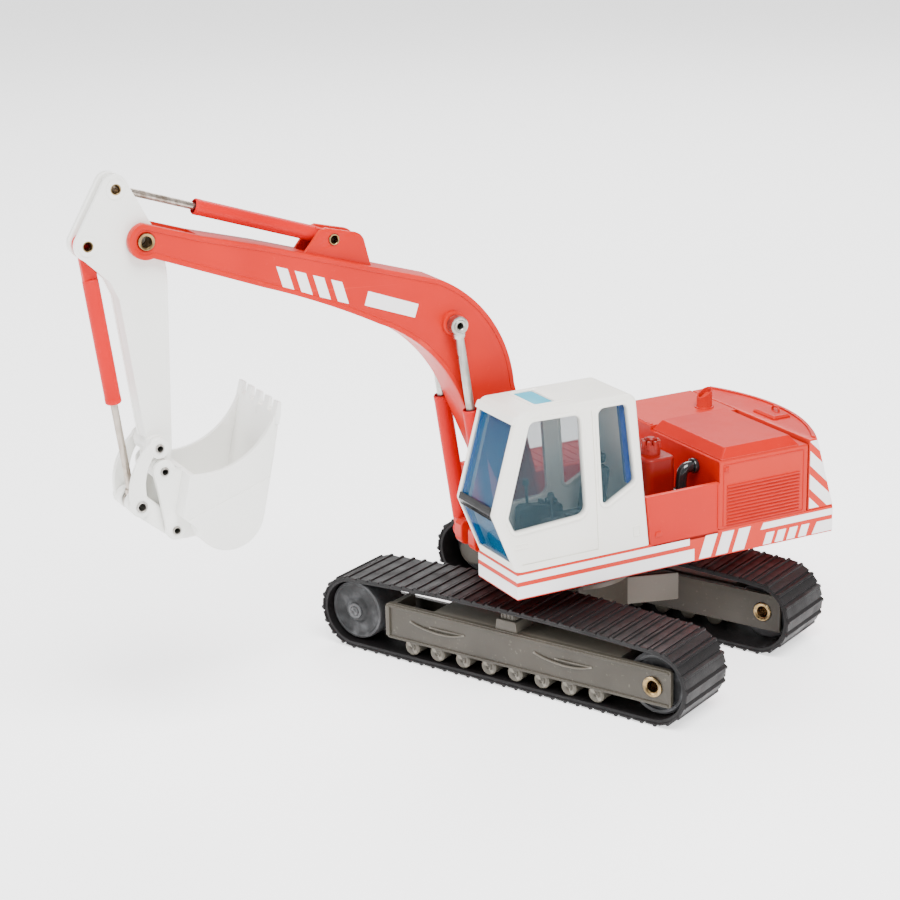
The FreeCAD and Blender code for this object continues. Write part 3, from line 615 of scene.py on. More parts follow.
def make_wheels():
    """Front and rear wheels with their axles."""
    idler = [(1.16, -4.4), (6.2, -4.4), (6.7, -3.9), (6.7, 3.9), (6.45, 4.3), (6.0, 4.4), (5.7, 4.25),
             (5.5, 4.1), (3.2, 4.05), (2.9, 4.2), (2.6, 4.6), (2.3, 4.75), (1.9, 4.8), (1.75, 5.1),
             (1.16, 5.15)]
    rear = [(1.96, -4.4), (6.2, -4.4), (6.7, -3.9), (6.7, -1.2), (6.2, -0.8), (6.2, 0.8), (6.7, 1.2),
            (6.7, 3.9), (6.2, 4.4), (5.6, 4.4), (5.4, 4.1), (3.2, 4.1), (3.0, 4.4), (1.96, 4.4)]
    rivet_section = [(1.25, -6.2), (1.55, -6.4), (1.95, -6.4), (2.15, -6.2), (1.9, -5.9), (1.9, 5.75),
                     (2.15, 6.0), (2.15, 6.3), (1.9, 6.45), (1.55, 6.4), (1.25, 6.1)]
    axle = [(0, -5.9), (1.1, -5.9), (1.1, 5.4), (0.9, 5.7), (0.4, 5.75), (0, 5.6)]
    turned = ((idler, WHEEL_X, 24.0, 56, "idler_wheel_", CAST, "wheel_grey", "idler_"),
              (rear, -WHEEL_X, 23.6, 56, "rear_wheel_", CAST, "wheel_grey", "drive_wheel_"),
              (rivet_section, -WHEEL_X, 23.65, 40, "rear_rivet_", BRASS, "brass", "drive_rivet_"),
              (axle, WHEEL_X, 23.75, 28, "front_axle_", CAST, "steel", "idler_axle_"))
    for side, sign in SIDES:
        for section, x, y, count, name, material, slot, node in turned:
            shape = Shape(GROUND).lathe(facing(x, sign * y, WHEEL_Z, sign), section, count)
            body = name + side if slot == "wheel_grey" else "undercarriage"
            shape.piece(name + side, body, material, slot, [node + side])


def make_side_frames():
    """A beam, plates, rollers, steps and a carrier block along each track."""
    low, high, front, rear = 4.4, 12.6, 29.2, -42.1
    for side, sign in SIDES:
        shape = Shape(GROUND)
        face = sign * 29.6
        skin = rounded([(rear, low, 0.7), (front, low, 1.2), (front, high, 1.2), (rear, high, 0.7)])
        shape.plate(sign * 28.95, 1.3, skin, [circle(-WHEEL_X, WHEEL_Z, 1.92)], 0.22)
        for corners, bevel in (((-29.6, low + 0.2, 17.0, high - 0.12), 0.2),
                               ((16.5, low + 0.2, front - 0.5, 6.0), 0.15),
                               ((front - 1.8, low + 0.5, front - 0.5, high - 0.5), 0.2)):
            shape.plate(sign * 24.6, 8.0, rectangle(*corners), bevel=bevel)
        inner = drawn([(WHEEL_X, low), (WHEEL_X + 4.2, WHEEL_Z, WHEEL_X, 10.4), (35.6, 10.2),
                       (20.0, 10.2), (17.4, high), (rear, high), (rear, low)])
        shape.plate(sign * 18.2, 1.2, inner, [circle(-WHEEL_X, WHEEL_Z, 1.92)], 0.15)
        shape.plate(sign * 19.7, 2.6, rectangle(-29.4, 5.5, 16.6, 12.0), bevel=0.1)
        # raised borders of the outer face
        shape.plate(face, 0.7, rectangle(rear + 0.5, high - 0.85, front - 0.9, high - 0.3, 0.1),
                    bevel=0.12)
        shape.plate(face, 0.7, rectangle(rear + 0.5, low + 0.3, front - 0.9, low + 0.8, 0.1), bevel=0.12)
        shape.plate(face, 1.0, rectangle(front - 1.4, low + 0.7, front - 0.4, high - 0.6, 0.3),
                    bevel=0.2)
        for x in (22.4, -9.4):
            shape.tube([(x, face + sign * 0.05, 9.5), (x - 2.0, face + sign * 0.3, 8.9),
                        (x - 7.0, face + sign * 0.45, 8.3), (x - 12.0, face + sign * 0.4, 8.5),
                        (x - 14.2, face + sign * 0.05, 9.3)], 0.22)
            shape.tube([(x - 5.2, face + sign * 0.1, 9.25), (x - 9.0, face + sign * 0.35, 9.35),
                        (x - 14.2, face + sign * 0.05, 9.3)], 0.16)
        roller = [(0.0, 4.5), (0.35, 4.5), (0.5, 4.62), (1.55, 4.62), (1.85, 4.35), (1.85, -4.3),
                  (0.0, -4.3)]
        for n in range(8):
            x = 22.26 - 6.67 * n
            shape.lathe(facing(x, sign * 24.9, 3.42, sign), roller, 28)
            shape.plate(sign * 29.45, 0.4, rectangle(x - 0.85, 2.9, x - 0.5, 4.1, 0.1), bevel=0.06)
            shoe = [(x - 2.1, 5.0, 0.1), (x - 1.5, 3.9, 0.3), (x + 1.5, 3.9, 0.3), (x + 2.1, 5.0, 0.1)]
            shape.plate(sign * 25.2, 7.6, rounded(shoe), bevel=0.1)
        block = rounded([(-4.9, high - 0.3, 0), (0.5, high - 0.3, 0), (0.2, high + 2.3, 0.3),
                         (-4.6, high + 2.3, 0.3)])
        shape.plate(sign * 25.4, 7.6, block, bevel=0.15)
        crown = rounded([(-4.1, high + 2.0, 0), (-0.4, high + 2.0, 0), (-0.6, high + 3.8, 0.4),
                         (-3.8, high + 3.8, 0.4)])
        shape.plate(sign * 25.0, 7.0, crown, bevel=0.15)
        for n in range(4):
            x = -3.6 + 0.9 * n
            shape.plate(sign * 28.5, 0.4, rectangle(x - 0.18, high + 2.4, x + 0.18, high + 3.5, 0.1),
                        bevel=0.08)
        shape.piece("track_frame_" + side, "undercarriage", FRAME_PAINT, "grey_paint",
                    ["side_frame_" + side])


def make_centre():
    """The box between the tracks with four arms, the turntable and its rivet."""
    shape = Shape(GROUND)
    shape.flat(12.0, 11.0, rectangle(-9, -11.5, 9, 11.5, 1.0), bevel=0.4)
    for sx in (-1, 1):
        for sy in (-1, 1):
            arm = [(sx * 2.5, sy * 11.0), (sx * 8.8, sy * 8.8), (sx * 17.0, sy * 17.6),
                   (sx * 8.5, sy * 17.6)]
            shape.flat(10.2, 6.5, arm, bevel=0.35)
            shape.flat(13.4, 0.4, grown(arm, -1.0), bevel=0.15)
    turntable = [(3.05, 16.5), (13.0, 16.5), (13.0, 21.2), (12.6, 21.6), (11.6, 21.7), (11.4, 22.5),
                 (11.1, 22.8), (3.05, 22.8)]
    shape.lathe(Matrix(), turntable, 72)
    shape.lathe(Matrix(), ring_profile(11.9, 13.0, 17.2, 18.6, 0.25), 72)
    shape.piece("undercarriage_middle", "undercarriage", FRAME_PAINT, "grey_paint", ["centre_frame"])
    rivet_section = [(2.1, 7.9), (3.0, 7.9), (3.0, 29.5), (4.0, 29.55), (4.2, 29.8), (4.0, 30.2),
                     (3.2, 30.45), (2.4, 30.4), (2.1, 30.1)]
    shape = Shape(GROUND).lathe(Matrix(), rivet_section, 40)
    shape.piece("turntable_rivet", "undercarriage", BRASS, "brass", ["slew_rivet"])


make_tracks()
make_wheels()
make_side_frames()
make_centre()

# ---------------------------------------------------------------- upper structure

# radii of the cylinder pins and linkage pins, and of the holes that hold them or turn on them
PIN, PIN_HOLE, PIN_EYE = 0.98, 1.02, 1.06
SMALL_PIN, SMALL_HOLE, SMALL_EYE = 0.73, 0.77, 0.81
FOOT_PIN, FOOT_HOLE, FOOT_EYE = 1.48, 1.52, 1.56

DECK_LOW, DECK_TOP = (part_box("deck")[0].z / MM, 29.17)
HALF_WIDTH = 25.0
HOOD_TOP = 45.4
HOOD_FRONT = -21.7
HOOD_REAR = -44.9
DECK_PLAN = [(27.75, HALF_WIDTH), (-51.7, HALF_WIDTH), (-59.4, 0, -51.7, -HALF_WIDTH),
             (15.8, -HALF_WIDTH), (15.8, -8.6), (19.5, -8.6), (19.5, 8.6), (27.75, 8.6)]


def make_deck():
    """The base casting with its lugs, and the white bands along it."""
    plan = drawn(DECK_PLAN, 40)
    shape = Shape().flat((DECK_LOW + DECK_TOP) / 2, DECK_TOP - DECK_LOW, plan, [circle(0, 0, 3.06)],
                         0.25)
    lug = drawn([(18.5, 26.6), (24.5, 26.6), (26.0, 27.2, 26.4, 28.8), (26.4, 31.2), (25.6, 32.0),
                 (21.0, 32.0), (18.5, 30.4)])
    for y in (-2.9, 2.9):
        shape.plate(y, 2.9, lug, [circle(*BOOM_CYLINDER_BASE, PIN_HOLE)], 0.35, facets=3)
    foot = drawn([(18.2, 28.5), (17.1, 34.0), (13.5, 37.6, 9.9, 34.0), (8.8, 28.5)])
    for y in (-5.55, 5.55):
        shape.plate(y, 1.7, foot, [circle(*FOOT, FOOT_HOLE)], 0.3)
    # the low side wall of the bay, its bead at the hood and its drain boss
    wall = [(HOOD_FRONT + 0.1, DECK_TOP - 1), (-4.6, DECK_TOP - 1), (-4.45, DECK_TOP + 0.1),
            (-3.4, 39.7), (-3.7, 39.8), (HOOD_FRONT + 0.1, 39.8)]
    shape.plate(HALF_WIDTH - 0.6, 1.2, wall, bevel=0.15)
    bead = rectangle(HOOD_FRONT - 0.1, DECK_TOP + 0.3, HOOD_FRONT + 0.5, 39.7, 0.2)
    shape.plate(HALF_WIDTH, 0.4, bead, bevel=0.12)
    shape.plate(HALF_WIDTH, 0.4, rectangle(-7.2, 30.6, -5.6, 31.8, 0.4), bevel=0.12)
    shape.piece("deck_casting", "upper_structure", RED, "red_paint", ["deck"])
    bands = Shape()
    for low, high, front_end, rear_start in ((27.15, 28.6, -14.2, -32.5), (23.55, 26.15, -15.4, -46.2)):
        for side in (-1, 1):
            y = side * (HALF_WIDTH + 0.02)
            start = 27.9 if side > 0 else 15.9
            bands.plate(y, 0.14, [(start, low), (start, high), (front_end, high), (front_end, low)],
                        bevel=0)
            slant = 0.5 * (high - low)
            bands.plate(y, 0.14, [(rear_start, low), (rear_start - slant, high), (-51.7, high),
                                  (-51.7, low)], bevel=0)
        arc_loop = drawn([(-51.65, HALF_WIDTH), (-59.4, 0, -51.65, -HALF_WIDTH)], 40)
        inner = [(x + 0.4, y) for x, y in arc_loop]
        outer = [(x - 0.08, y) for x, y in arc_loop]
        middle = (low + high) / 2
        bands.flat(middle, high - low, outer + inner[::-1], bevel=0)
        bands.flat(middle, high - low, [(27.6, 8.7), (27.82, 8.7), (27.82, 24.97), (27.6, 24.97)],
                   bevel=0)
        bands.flat(middle, high - low, [(15.6, -24.97), (15.87, -24.97), (15.87, -8.7), (15.6, -8.7)],
                   bevel=0)
    # plain slanted blocks where the toy carries its lettering
    for side in (-1, 1):
        for start, pitch, width, top, count in ((-16.6, 4.3, 3.0, 28.5, 3), (-33.2, 3.1, 2.1, 26.2, 4)):
            for n in range(count):
                x, slant = start - pitch * n, 0.35 * (top - 23.6)
                block = [(x, 23.6), (x - width, 23.6), (x - width - slant, top), (x - slant, top)]
                bands.plate(side * (HALF_WIDTH + 0.02), 0.14, block, bevel=0)
    bands.piece("deck_bands", "upper_structure", STRIPE, "white_paint")


def make_hood():
    """The engine hood, the panel on it, the exhaust and the service lid."""
    section = [(HALF_WIDTH, 29.2), (HALF_WIDTH, HOOD_TOP - 1.3), (HALF_WIDTH - 0.3, HOOD_TOP - 1.0),
               (-1.8, HOOD_TOP - 1.0), (-1.8, HOOD_TOP), (-20, HOOD_TOP), (-HALF_WIDTH, HOOD_TOP - 5),
               (-HALF_WIDTH, 29.2)]
    shape = Shape()
    middle = (HOOD_FRONT + HOOD_REAR) / 2 + 0.1
    shape.plate(0, 23.0, section, bevel=0.25, matrix=along("YZ", middle), facets=3)
    shape.flat(HOOD_TOP, 0.5, rectangle(HOOD_FRONT - 1.0, -19.0, HOOD_FRONT - 0.3, -2.2, 0.2),
               bevel=0.15)
    # corner stop, side panel border and louvres
    shape.block((HOOD_FRONT - 2.4, 24.0, 41.9), (HOOD_FRONT - 1.2, HALF_WIDTH + 0.3, 43.0), 0.3, 0.15)
    border = rectangle(HOOD_REAR + 1.2, 29.5, HOOD_FRONT - 0.9, 43.6, 0.5)
    shape.plate(HALF_WIDTH, 0.2, border, [grown(border, -0.3)], 0.08)
    for side in (1, -1):
        for n in range(12):
            z = 29.95 + 0.76 * n
            slat = rectangle(-42.6, z, -23.6, z + 0.5, 0.24)
            shape.plate(side * HALF_WIDTH, 0.6, slat, bevel=0.2)
    shape.piece("hood_casing", "upper_structure", RED_PLASTIC, "red_plastic", ["engine_hood"])

    def level(share, radius):
        x0, x1 = -42.4 + 1.7 * share, -22.4 - 1.5 * share
        y0, y1 = -1.7 + 1.1 * share, 24.5 - 1.0 * share
        return [rectangle(x0, y0, x1, y1, radius)]

    shape = Shape()
    base = HOOD_TOP - 0.98
    shape.layers(GROUND, [(base, level(-0.1, 0.4)), (base + 0.3, level(-0.1, 0.4)),
                          (base + 0.36, level(0.0, 0.4)), (base + 2.2, level(0.93, 0.5)),
                          (base + 2.33, level(1.05, 0.5)), (base + 2.38, level(1.2, 0.5))])
    shape.piece("hood_panel", "upper_structure", RED_PLASTIC, "red_plastic", ["hood_cover"])
    shape = Shape()
    stack = [(1.35, 0.3), (1.75, 0.0), (1.75, 4.1), (1.66, 4.25), (1.5, 4.25), (1.35, 4.1)]
    place = Matrix.Translation((-39.8, -7.4, HOOD_TOP - 0.1))
    shape.lathe(place, stack, 40)
    for vert in shape.mesh.verts:
        if vert.co.z > HOOD_TOP + 2:
            vert.co.z += 0.6 * (-39.8 - vert.co.x) - 0.7
    shape.lathe(place, ring_profile(1.6, 2.2, -0.2, 0.4, 0.15), 40)
    plug = [(-1.4, 2.2), (1.4, 0.6), (1.4, 2.0), (-1.4, 3.7)]
    shape.plate(-7.4, 2.0, [(x - 39.8, z + HOOD_TOP - 0.4) for x, z in plug], bevel=0.1)
    shape.piece("exhaust_pipe", "upper_structure", RED_PLASTIC, "red_plastic", ["exhaust_stack"])
    shape = Shape()
    lid = [(0.0, -0.2), (0.0, 0.35), (0.4, 0.7), (0.6, 0.76)]
    shape.layers(GROUND, [(HOOD_TOP + z, [rectangle(-51.4 + i, 1.5 + i, -46.8 - i, 9.5 - i, 0.3)]) for i,
                          z in lid])
    shape.tube([(-50.2, 4.2, HOOD_TOP + 0.6), (-50.2, 4.3, HOOD_TOP + 1.5),
                (-50.2, 5.5, HOOD_TOP + 1.75), (-50.2, 6.7, HOOD_TOP + 1.5),
                (-50.2, 6.8, HOOD_TOP + 0.6)], 0.25)
    shape.piece("service_lid", "upper_structure", RED_PLASTIC, "red_plastic", ["service_plate"])


def clipped(loop, window):
    """The part of a loop inside a convex window that runs anticlockwise."""
    for a, b in zip(window, window[1:] + window[:1]):
        inside = [(b[0] - a[0]) * (p[1] - a[1]) - (b[1] - a[1]) * (p[0] - a[0]) for p in loop]
        kept = []
        for n, point in enumerate(loop):
            if inside[n - 1] * inside[n] < 0:
                share = inside[n - 1] / (inside[n - 1] - inside[n])
                kept.append(tuple(Vector(loop[n - 1]).lerp(Vector(point), share)))
            if inside[n] >= 0:
                kept.append(point)
        loop = kept
        if not loop:
            break
    return loop


def make_counterweight():
    """The tail casting and its slanted stripes."""
    low = drawn([(HOOD_REAR - 0.1, HALF_WIDTH), (-51.7, HALF_WIDTH), (-59.4, 0, -51.7, -HALF_WIDTH),
                 (HOOD_REAR - 0.1, -HALF_WIDTH)], 36)
    high = drawn([(HOOD_REAR - 0.1, HALF_WIDTH), (-47.0, HALF_WIDTH), (-54.53, 2.5, -49.9, -20.0),
                  (HOOD_REAR - 0.1, -20.0)], 36)

    def level(share, inset):
        loop = [tuple(Vector(a).lerp(Vector(b), share)) for a, b in zip(low, high)]
        return grown(loop, -inset)

    shape = Shape()
    rise = HOOD_TOP - DECK_TOP
    shares = [(0.0, 0.2), (0.012, 0.0), (0.5, 0.0), (0.97, 0.0), (0.99, 0.15), (1.0, 0.5)]
    shape.layers(GROUND, [(DECK_TOP + 0.03 + rise * share, [level(share, inset)]) for share,
                          inset in shares])
    rim = level(1.0, 0.45)[1:-1]
    inner = level(1.0, 1.2)[1:-1]
    shape.flat(HOOD_TOP + 0.05, 0.75, rim + inner[::-1], bevel=0.18)
    shape.piece("tail_casting", "upper_structure", RED, "red_paint", ["counterweight"])
    bands = Shape()
    slope = math.atan2(5.0, HOOD_TOP - DECK_TOP)
    left = along("XZ", HALF_WIDTH)
    right = (Matrix.Translation((0, -HALF_WIDTH, DECK_TOP)) @ Matrix.Rotation(-slope, 4, "X")
             @ Matrix.Translation((0, 0, -DECK_TOP)) @ PLANES["XZ"])
    for place, top_x in ((left, -47.2), (right, -50.0)):
        window = [(-51.5, 29.6), (HOOD_REAR - 0.4, 29.6), (HOOD_REAR - 0.4, 45.0), (top_x, 45.0)]
        for n in range(5):
            start = 24.8 + 5.3 * n
            stripe = [(-44, start + 8.6), (-53, start), (-53, start - 3.3), (-44, start + 5.3)]
            part = clipped(stripe, window)
            if len(part) > 2:
                bands.plate(0, 0.12, part, bevel=0, matrix=place)
    bands.piece("tail_stripes", "upper_structure", STRIPE, "white_paint")


def make_right_side():
    """The low cover on the side away from the cab."""
    shape = Shape()
    low, high = (14.5, HOOD_FRONT + 0.25)
    outline = rectangle(high, -24.9, low, -9.7, 0.5)
    shape.flat(33.1, 7.8, outline, bevel=0.5, facets=3)
    panel = rectangle(high + 1.2, -23.6, low - 1.4, -11.0, 0.6)
    shape.flat(37.0, 0.3, panel, [grown(panel, -0.4)], 0.08)
    for n in range(13):
        x = high + 3.2 + 2.4 * n
        shape.flat(37.05, 0.3, rectangle(x, -22.4, x + 0.7, -12.2, 0.3), bevel=0.1)
    side = rectangle(high + 1.2, 30.2, low - 1.2, 35.9, 0.5)
    shape.plate(-24.9, 0.3, side, [grown(side, -0.35)], 0.08)
    shape.piece("right_side_cover", "upper_structure", RED_PLASTIC, "red_plastic", ["right_housing"])


def make_bay():
    """The tank with its valves and the bent hose behind the cab."""
    tank = rounded([(-16.2, 10.0, 0.5), (-9.0, 10.0, 1.6), (-9.0, 17.0, 1.6), (-16.2, 17.0, 1.6)])
    shape = Shape().flat(36.85, 15.4, tank, bevel=0.7, facets=4)
    shape.piece("tank", "upper_structure", DEEP_RED, "dark_red_plastic", ["tank_block"])
    shape = Shape()
    place = Matrix.Translation((-12.4, 12.6, 44.3))
    shape.lathe(place, [(0, 0), (2.1, 0), (2.1, 2.2), (1.9, 2.5), (1.2, 2.6), (1.1, 3.6), (0.8, 3.9),
                        (0, 3.9)], 32)
    for n in range(8):
        turn = math.tau * n / 8
        shape.lathe(place @ Matrix.Translation((1.75 * math.cos(turn), 1.75 * math.sin(turn), 0)),
                    [(0, 1.6), (0.5, 1.6), (0.5, 3.1), (0.35, 3.35), (0, 3.4)], 14)
    shape.piece("valves", "upper_structure", DEEP_RED, "dark_red_plastic", ["valve_block"])
    shape = Shape()
    x, y = -17.9, 16.0
    shape.tube([(x, y, DECK_TOP), (x, y, 34.0), (x, y, 38.6), (x - 0.5, y, 40.8), (x - 2.0, y, 41.3),
                (HOOD_FRONT + 0.1, y, 41.2)], 1.25, count=16)
    shape.lathe(Matrix.Translation((x, y, 36.2)), ring_profile(1.1, 1.75, -0.5, 0.5, 0.2), 36)
    shape.lathe(Matrix.Translation((x, y, DECK_TOP)), ring_profile(1.1, 2.2, 0.0, 0.7, 0.2), 36)
    collar = Matrix.Translation((HOOD_FRONT + 0.6, y, 41.2)) @ Matrix.Rotation(math.pi / 2, 4, "Y")
    shape.lathe(collar, ring_profile(1.1, 1.7, -0.5, 0.5, 0.2), 36)
    shape.piece("air_hose", "upper_structure", BLACK, "black_gloss", ["hose_elbow"])


FRONT_WINDOW = [(24.4, 60.7, 1.4), (12.8, 60.5, 1.6), (11.3, 38.9, 1.8), (28.2, 38.0, 1.2),
                (29.7, 41.3, 1.6)]
REAR_WINDOW = [(8.5, 61.0, 1.4), (1.7, 61.0, 1.2), (-0.5, 43.8, 1.4), (7.3, 39.6, 1.0)]
CAB_MIDDLE = 16.75
CAB_WIDTH = 16.5
SCREEN_WIDTH = 13.3


def make_cab():
    """The cab shell with its windows, screen, bar and roof hatch."""
    outer = rounded([(26.81, 27.0, 0), (32.9, 42.1, 1.2), (27.0, 62.7, 2.0), (-0.9, 62.7, 2.0),
                     (-4.63, 27.0, 0)], 8)
    inner = rounded([(25.2, 26.0, 0), (31.6, 42.1, 1.0), (26.1, 61.6, 1.2), (0.1, 61.6, 1.2),
                     (-3.5, 26.0, 0)])
    windows = [rounded(FRONT_WINDOW), rounded(REAR_WINDOW)]
    opening = [(29.4, 31.2), (34.0, 42.0), (29.0, 60.3), (24.6, 60.3), (30.2, 42.1), (25.0, 31.2)]
    hatch = rectangle(16.1, 11.2, 20.6, 20.7, 0.6)
    cab = Shape().plate(CAB_MIDDLE, CAB_WIDTH, outer, bevel=1.0, facets=4)
    cab.cut(Shape().plate(CAB_MIDDLE, CAB_WIDTH - 2.2, inner, bevel=0))
    cab.cut(Shape().flat(27.2, 4.0, rectangle(-8, 5, 36, 30), bevel=0))
    cutter = Shape().plate(CAB_MIDDLE, SCREEN_WIDTH, opening, bevel=0)
    for window in windows:
        cutter.plate(CAB_MIDDLE, CAB_WIDTH + 4, window, bevel=0)
    cutter.flat(62, 4, hatch, bevel=0)
    cab.cut(cutter)
    seam = [(10.1, 60.9), (9.85, 60.9), (8.85, 44.0), (8.3, 30.4), (8.55, 30.4), (9.1, 44.0)]
    sill = [(26.6, 30.9), (26.6, 30.65), (8.6, 30.65), (8.6, 30.9)]
    cab.cut(Shape().plate(HALF_WIDTH, 0.4, seam, bevel=0).plate(HALF_WIDTH, 0.4, sill, bevel=0))
    for side, face in ((1, HALF_WIDTH), (-1, CAB_MIDDLE - CAB_WIDTH / 2)):
        for window in windows:
            cab.plate(face - side * 0.45, 1.5, grown(window, 0.85), [grown(window, 0.05)], 0.28,
                      facets=3)
    for low, high in (((25.0, 34.2), (28.4, 35.5)), ((-1.9, 31.7), (-0.1, 34.2))):
        frame_loop = rectangle(*low, *high, 0.4)
        cab.plate(HALF_WIDTH, 0.3, frame_loop, [grown(frame_loop, -0.28)], 0.08)
    cab.flat(62.65, 0.5, rectangle(12.6, 10.2, 21.6, 21.7, 0.6), [grown(hatch, 0.1)], 0.15)
    visor = [(26.6, 60.4, 0.2), (28.3, 60.6, 0.3), (27.6, 62.2, 0.5), (26.0, 61.9, 0.2)]
    cab.plate(CAB_MIDDLE, CAB_WIDTH - 1.2, rounded(visor), bevel=0.2)
    cab.piece("cab_body", "upper_structure", CAB_WHITE, "white_plastic", ["cab_shell"])

    for name, y in (("left", 24.2), ("right", 9.3)):
        shape = Shape()
        for window in windows:
            shape.plate(y, 0.5, grown(window, 0.3), bevel=0.1)
        shape.piece("side_glazing_" + name, "upper_structure", GLAZING, "blue_glazing",
                    ["cab_glass_" + name])
    pane = [(28.2, 31.0), (32.6, 42.1), (27.34, 60.6), (26.69, 60.6), (31.93, 42.1), (27.55, 31.0)]
    shape = Shape().plate(CAB_MIDDLE, SCREEN_WIDTH + 0.4, pane, bevel=0.05)
    shape.piece("front_screen", "upper_structure", SCREEN, "blue_glazing", ["windscreen"])
    # strips of painted glow along the pane edges, standing in for light caught in the plastic
    shape = Shape()
    strip = [(28.0, 31.1), (32.35, 42.1), (27.0, 60.5), (25.9, 60.5), (31.1, 42.1), (27.0, 31.1)]
    for y in (CAB_MIDDLE - 6.3, CAB_MIDDLE + 6.3):
        shape.plate(y, 0.8, strip, bevel=0.1)
    for y in (23.5, 10.0):
        shape.plate(y, 0.9, rounded([(2.9, 60.8, 0.3), (1.6, 60.8, 0.5), (-0.35, 44.0, 0.5),
                                     (0.9, 43.2, 0.3)]), bevel=0.1)
    shape.piece("glazing_edge_glow", "upper_structure", PAINTED_EDGE_GLOW, "blue_glazing")
    bar = rounded([(32.0, 40.7, 0.1), (32.62, 42.1, 0), (32.2, 43.4, 0.1), (32.6, 43.5, 0.2),
                   (33.05, 42.1, 0.15), (32.5, 40.7, 0.2)], 3)
    shape = Shape().plate(CAB_MIDDLE, SCREEN_WIDTH, bar, bevel=0.1)
    shape.piece("screen_bar", "upper_structure", BLACK, "black_plastic", ["windscreen_bar"])
    shape = Shape().flat(62.3, 0.7, grown(hatch, -0.05), bevel=0.15)
    shape.piece("roof_window", "upper_structure", HATCH_BLUE, "blue_glazing", ["roof_hatch"])


def make_cab_interior():
    """Floor, seat and side consoles."""
    shape = Shape().block((-2.2, 10.2, 29.25), (25.6, 23.3, 30.6), 0.4, 0.2)
    for n in range(7):
        shape.block((14.0 + 1.5 * n, 13.2, 30.4), (14.8 + 1.5 * n, 20.3, 30.8), 0.2, 0.1)
    dash = [(22.5, 30.6, 0), (26.0, 30.6, 0.3), (27.0, 33.6, 0.8), (23.6, 34.0, 0.8)]
    shape.plate(CAB_MIDDLE, 12.6, rounded(dash), bevel=0.4)
    shape.piece("cab_tub", "upper_structure", INTERIOR, "black_plastic", ["cab_floor"])
    shape = Shape()
    base = [(5.0, 30.6, 0), (12.0, 30.6, 0), (12.0, 33.6, 0.4), (5.0, 33.6, 0.4)]
    cushion = [(4.2, 33.4, 0.5), (13.4, 33.4, 1.0), (13.5, 36.3, 1.3), (5.6, 36.0, 0.8)]
    back = [(6.8, 36.0, 0.6), (3.6, 36.0, 0.8), (2.2, 46.2, 0.9), (4.8, 46.6, 1.0)]
    headrest = [(4.6, 46.9, 0.5), (2.6, 46.7, 0.5), (2.4, 49.0, 0.8), (4.5, 49.0, 0.8)]
    for outline, width, bevel, facets in ((base, 5.0, 0.3, 2), (cushion, 7.4, 0.8, 4),
                                          (back, 7.0, 0.8, 4), (headrest, 4.2, 0.6, 3)):
        shape.plate(CAB_MIDDLE, width, rounded(outline), bevel=bevel, facets=facets)
    shape.piece("driver_seat", "upper_structure", INTERIOR, "black_plastic", ["seat"])
    shape = Shape()
    knob = [(0, 0), (0.55, 0.1), (0.72, 0.7), (0.6, 1.4), (0, 1.6)]
    for y in (11.6, 21.9):
        shape.plate(y, 2.6, rounded([(9.5, 30.6, 0), (20.0, 30.6, 0), (20.0, 38.5, 1.4),
                                     (9.5, 37.4, 1.0)]), bevel=0.4)
        shape.tube([(17.6, y, 37.6), (17.5, y, 40.6), (17.9, y, 42.8)], 0.32)
        shape.lathe(Matrix.Translation((17.9, y, 42.4)), knob, 18)
        for n in range(3):
            shape.block((10.6 + 1.6 * n, y - 0.7, 37.2), (11.4 + 1.6 * n, y + 0.7, 38.5 + 0.15 * n), 0.2,
                        0.12)
    shape.piece("cab_controls", "upper_structure", INTERIOR, "black_plastic", ["console"])


make_deck()
make_hood()
make_counterweight()
make_right_side()
make_bay()
make_cab()
make_cab_interior()

# ---------------------------------------------------------------- arm

BOOM_OUTLINE = [(17.7, 34.6), (28.3, 60.0), (35.2, 71.4, 46.7, 79.6), (58.6, 85.4, 71.2, 90.4),
                (93.6, 99.1), (98.3, 102.0, 95.2, 106.0), (84.0, 102.3), (70.8, 98.7), (32.9, 87.0),
                (21.8, 77.9, 16.1, 62.8), (9.4, 35.0), (12.5, 29.9, 17.7, 34.6)]


def boss(shape, at, radius, hole, width, lip=0.25):
    """A turned ring across the arm, centred in its middle plane."""
    shape.lathe(across(at), ring_profile(hole, radius, -width / 2, width / 2, lip), 44)


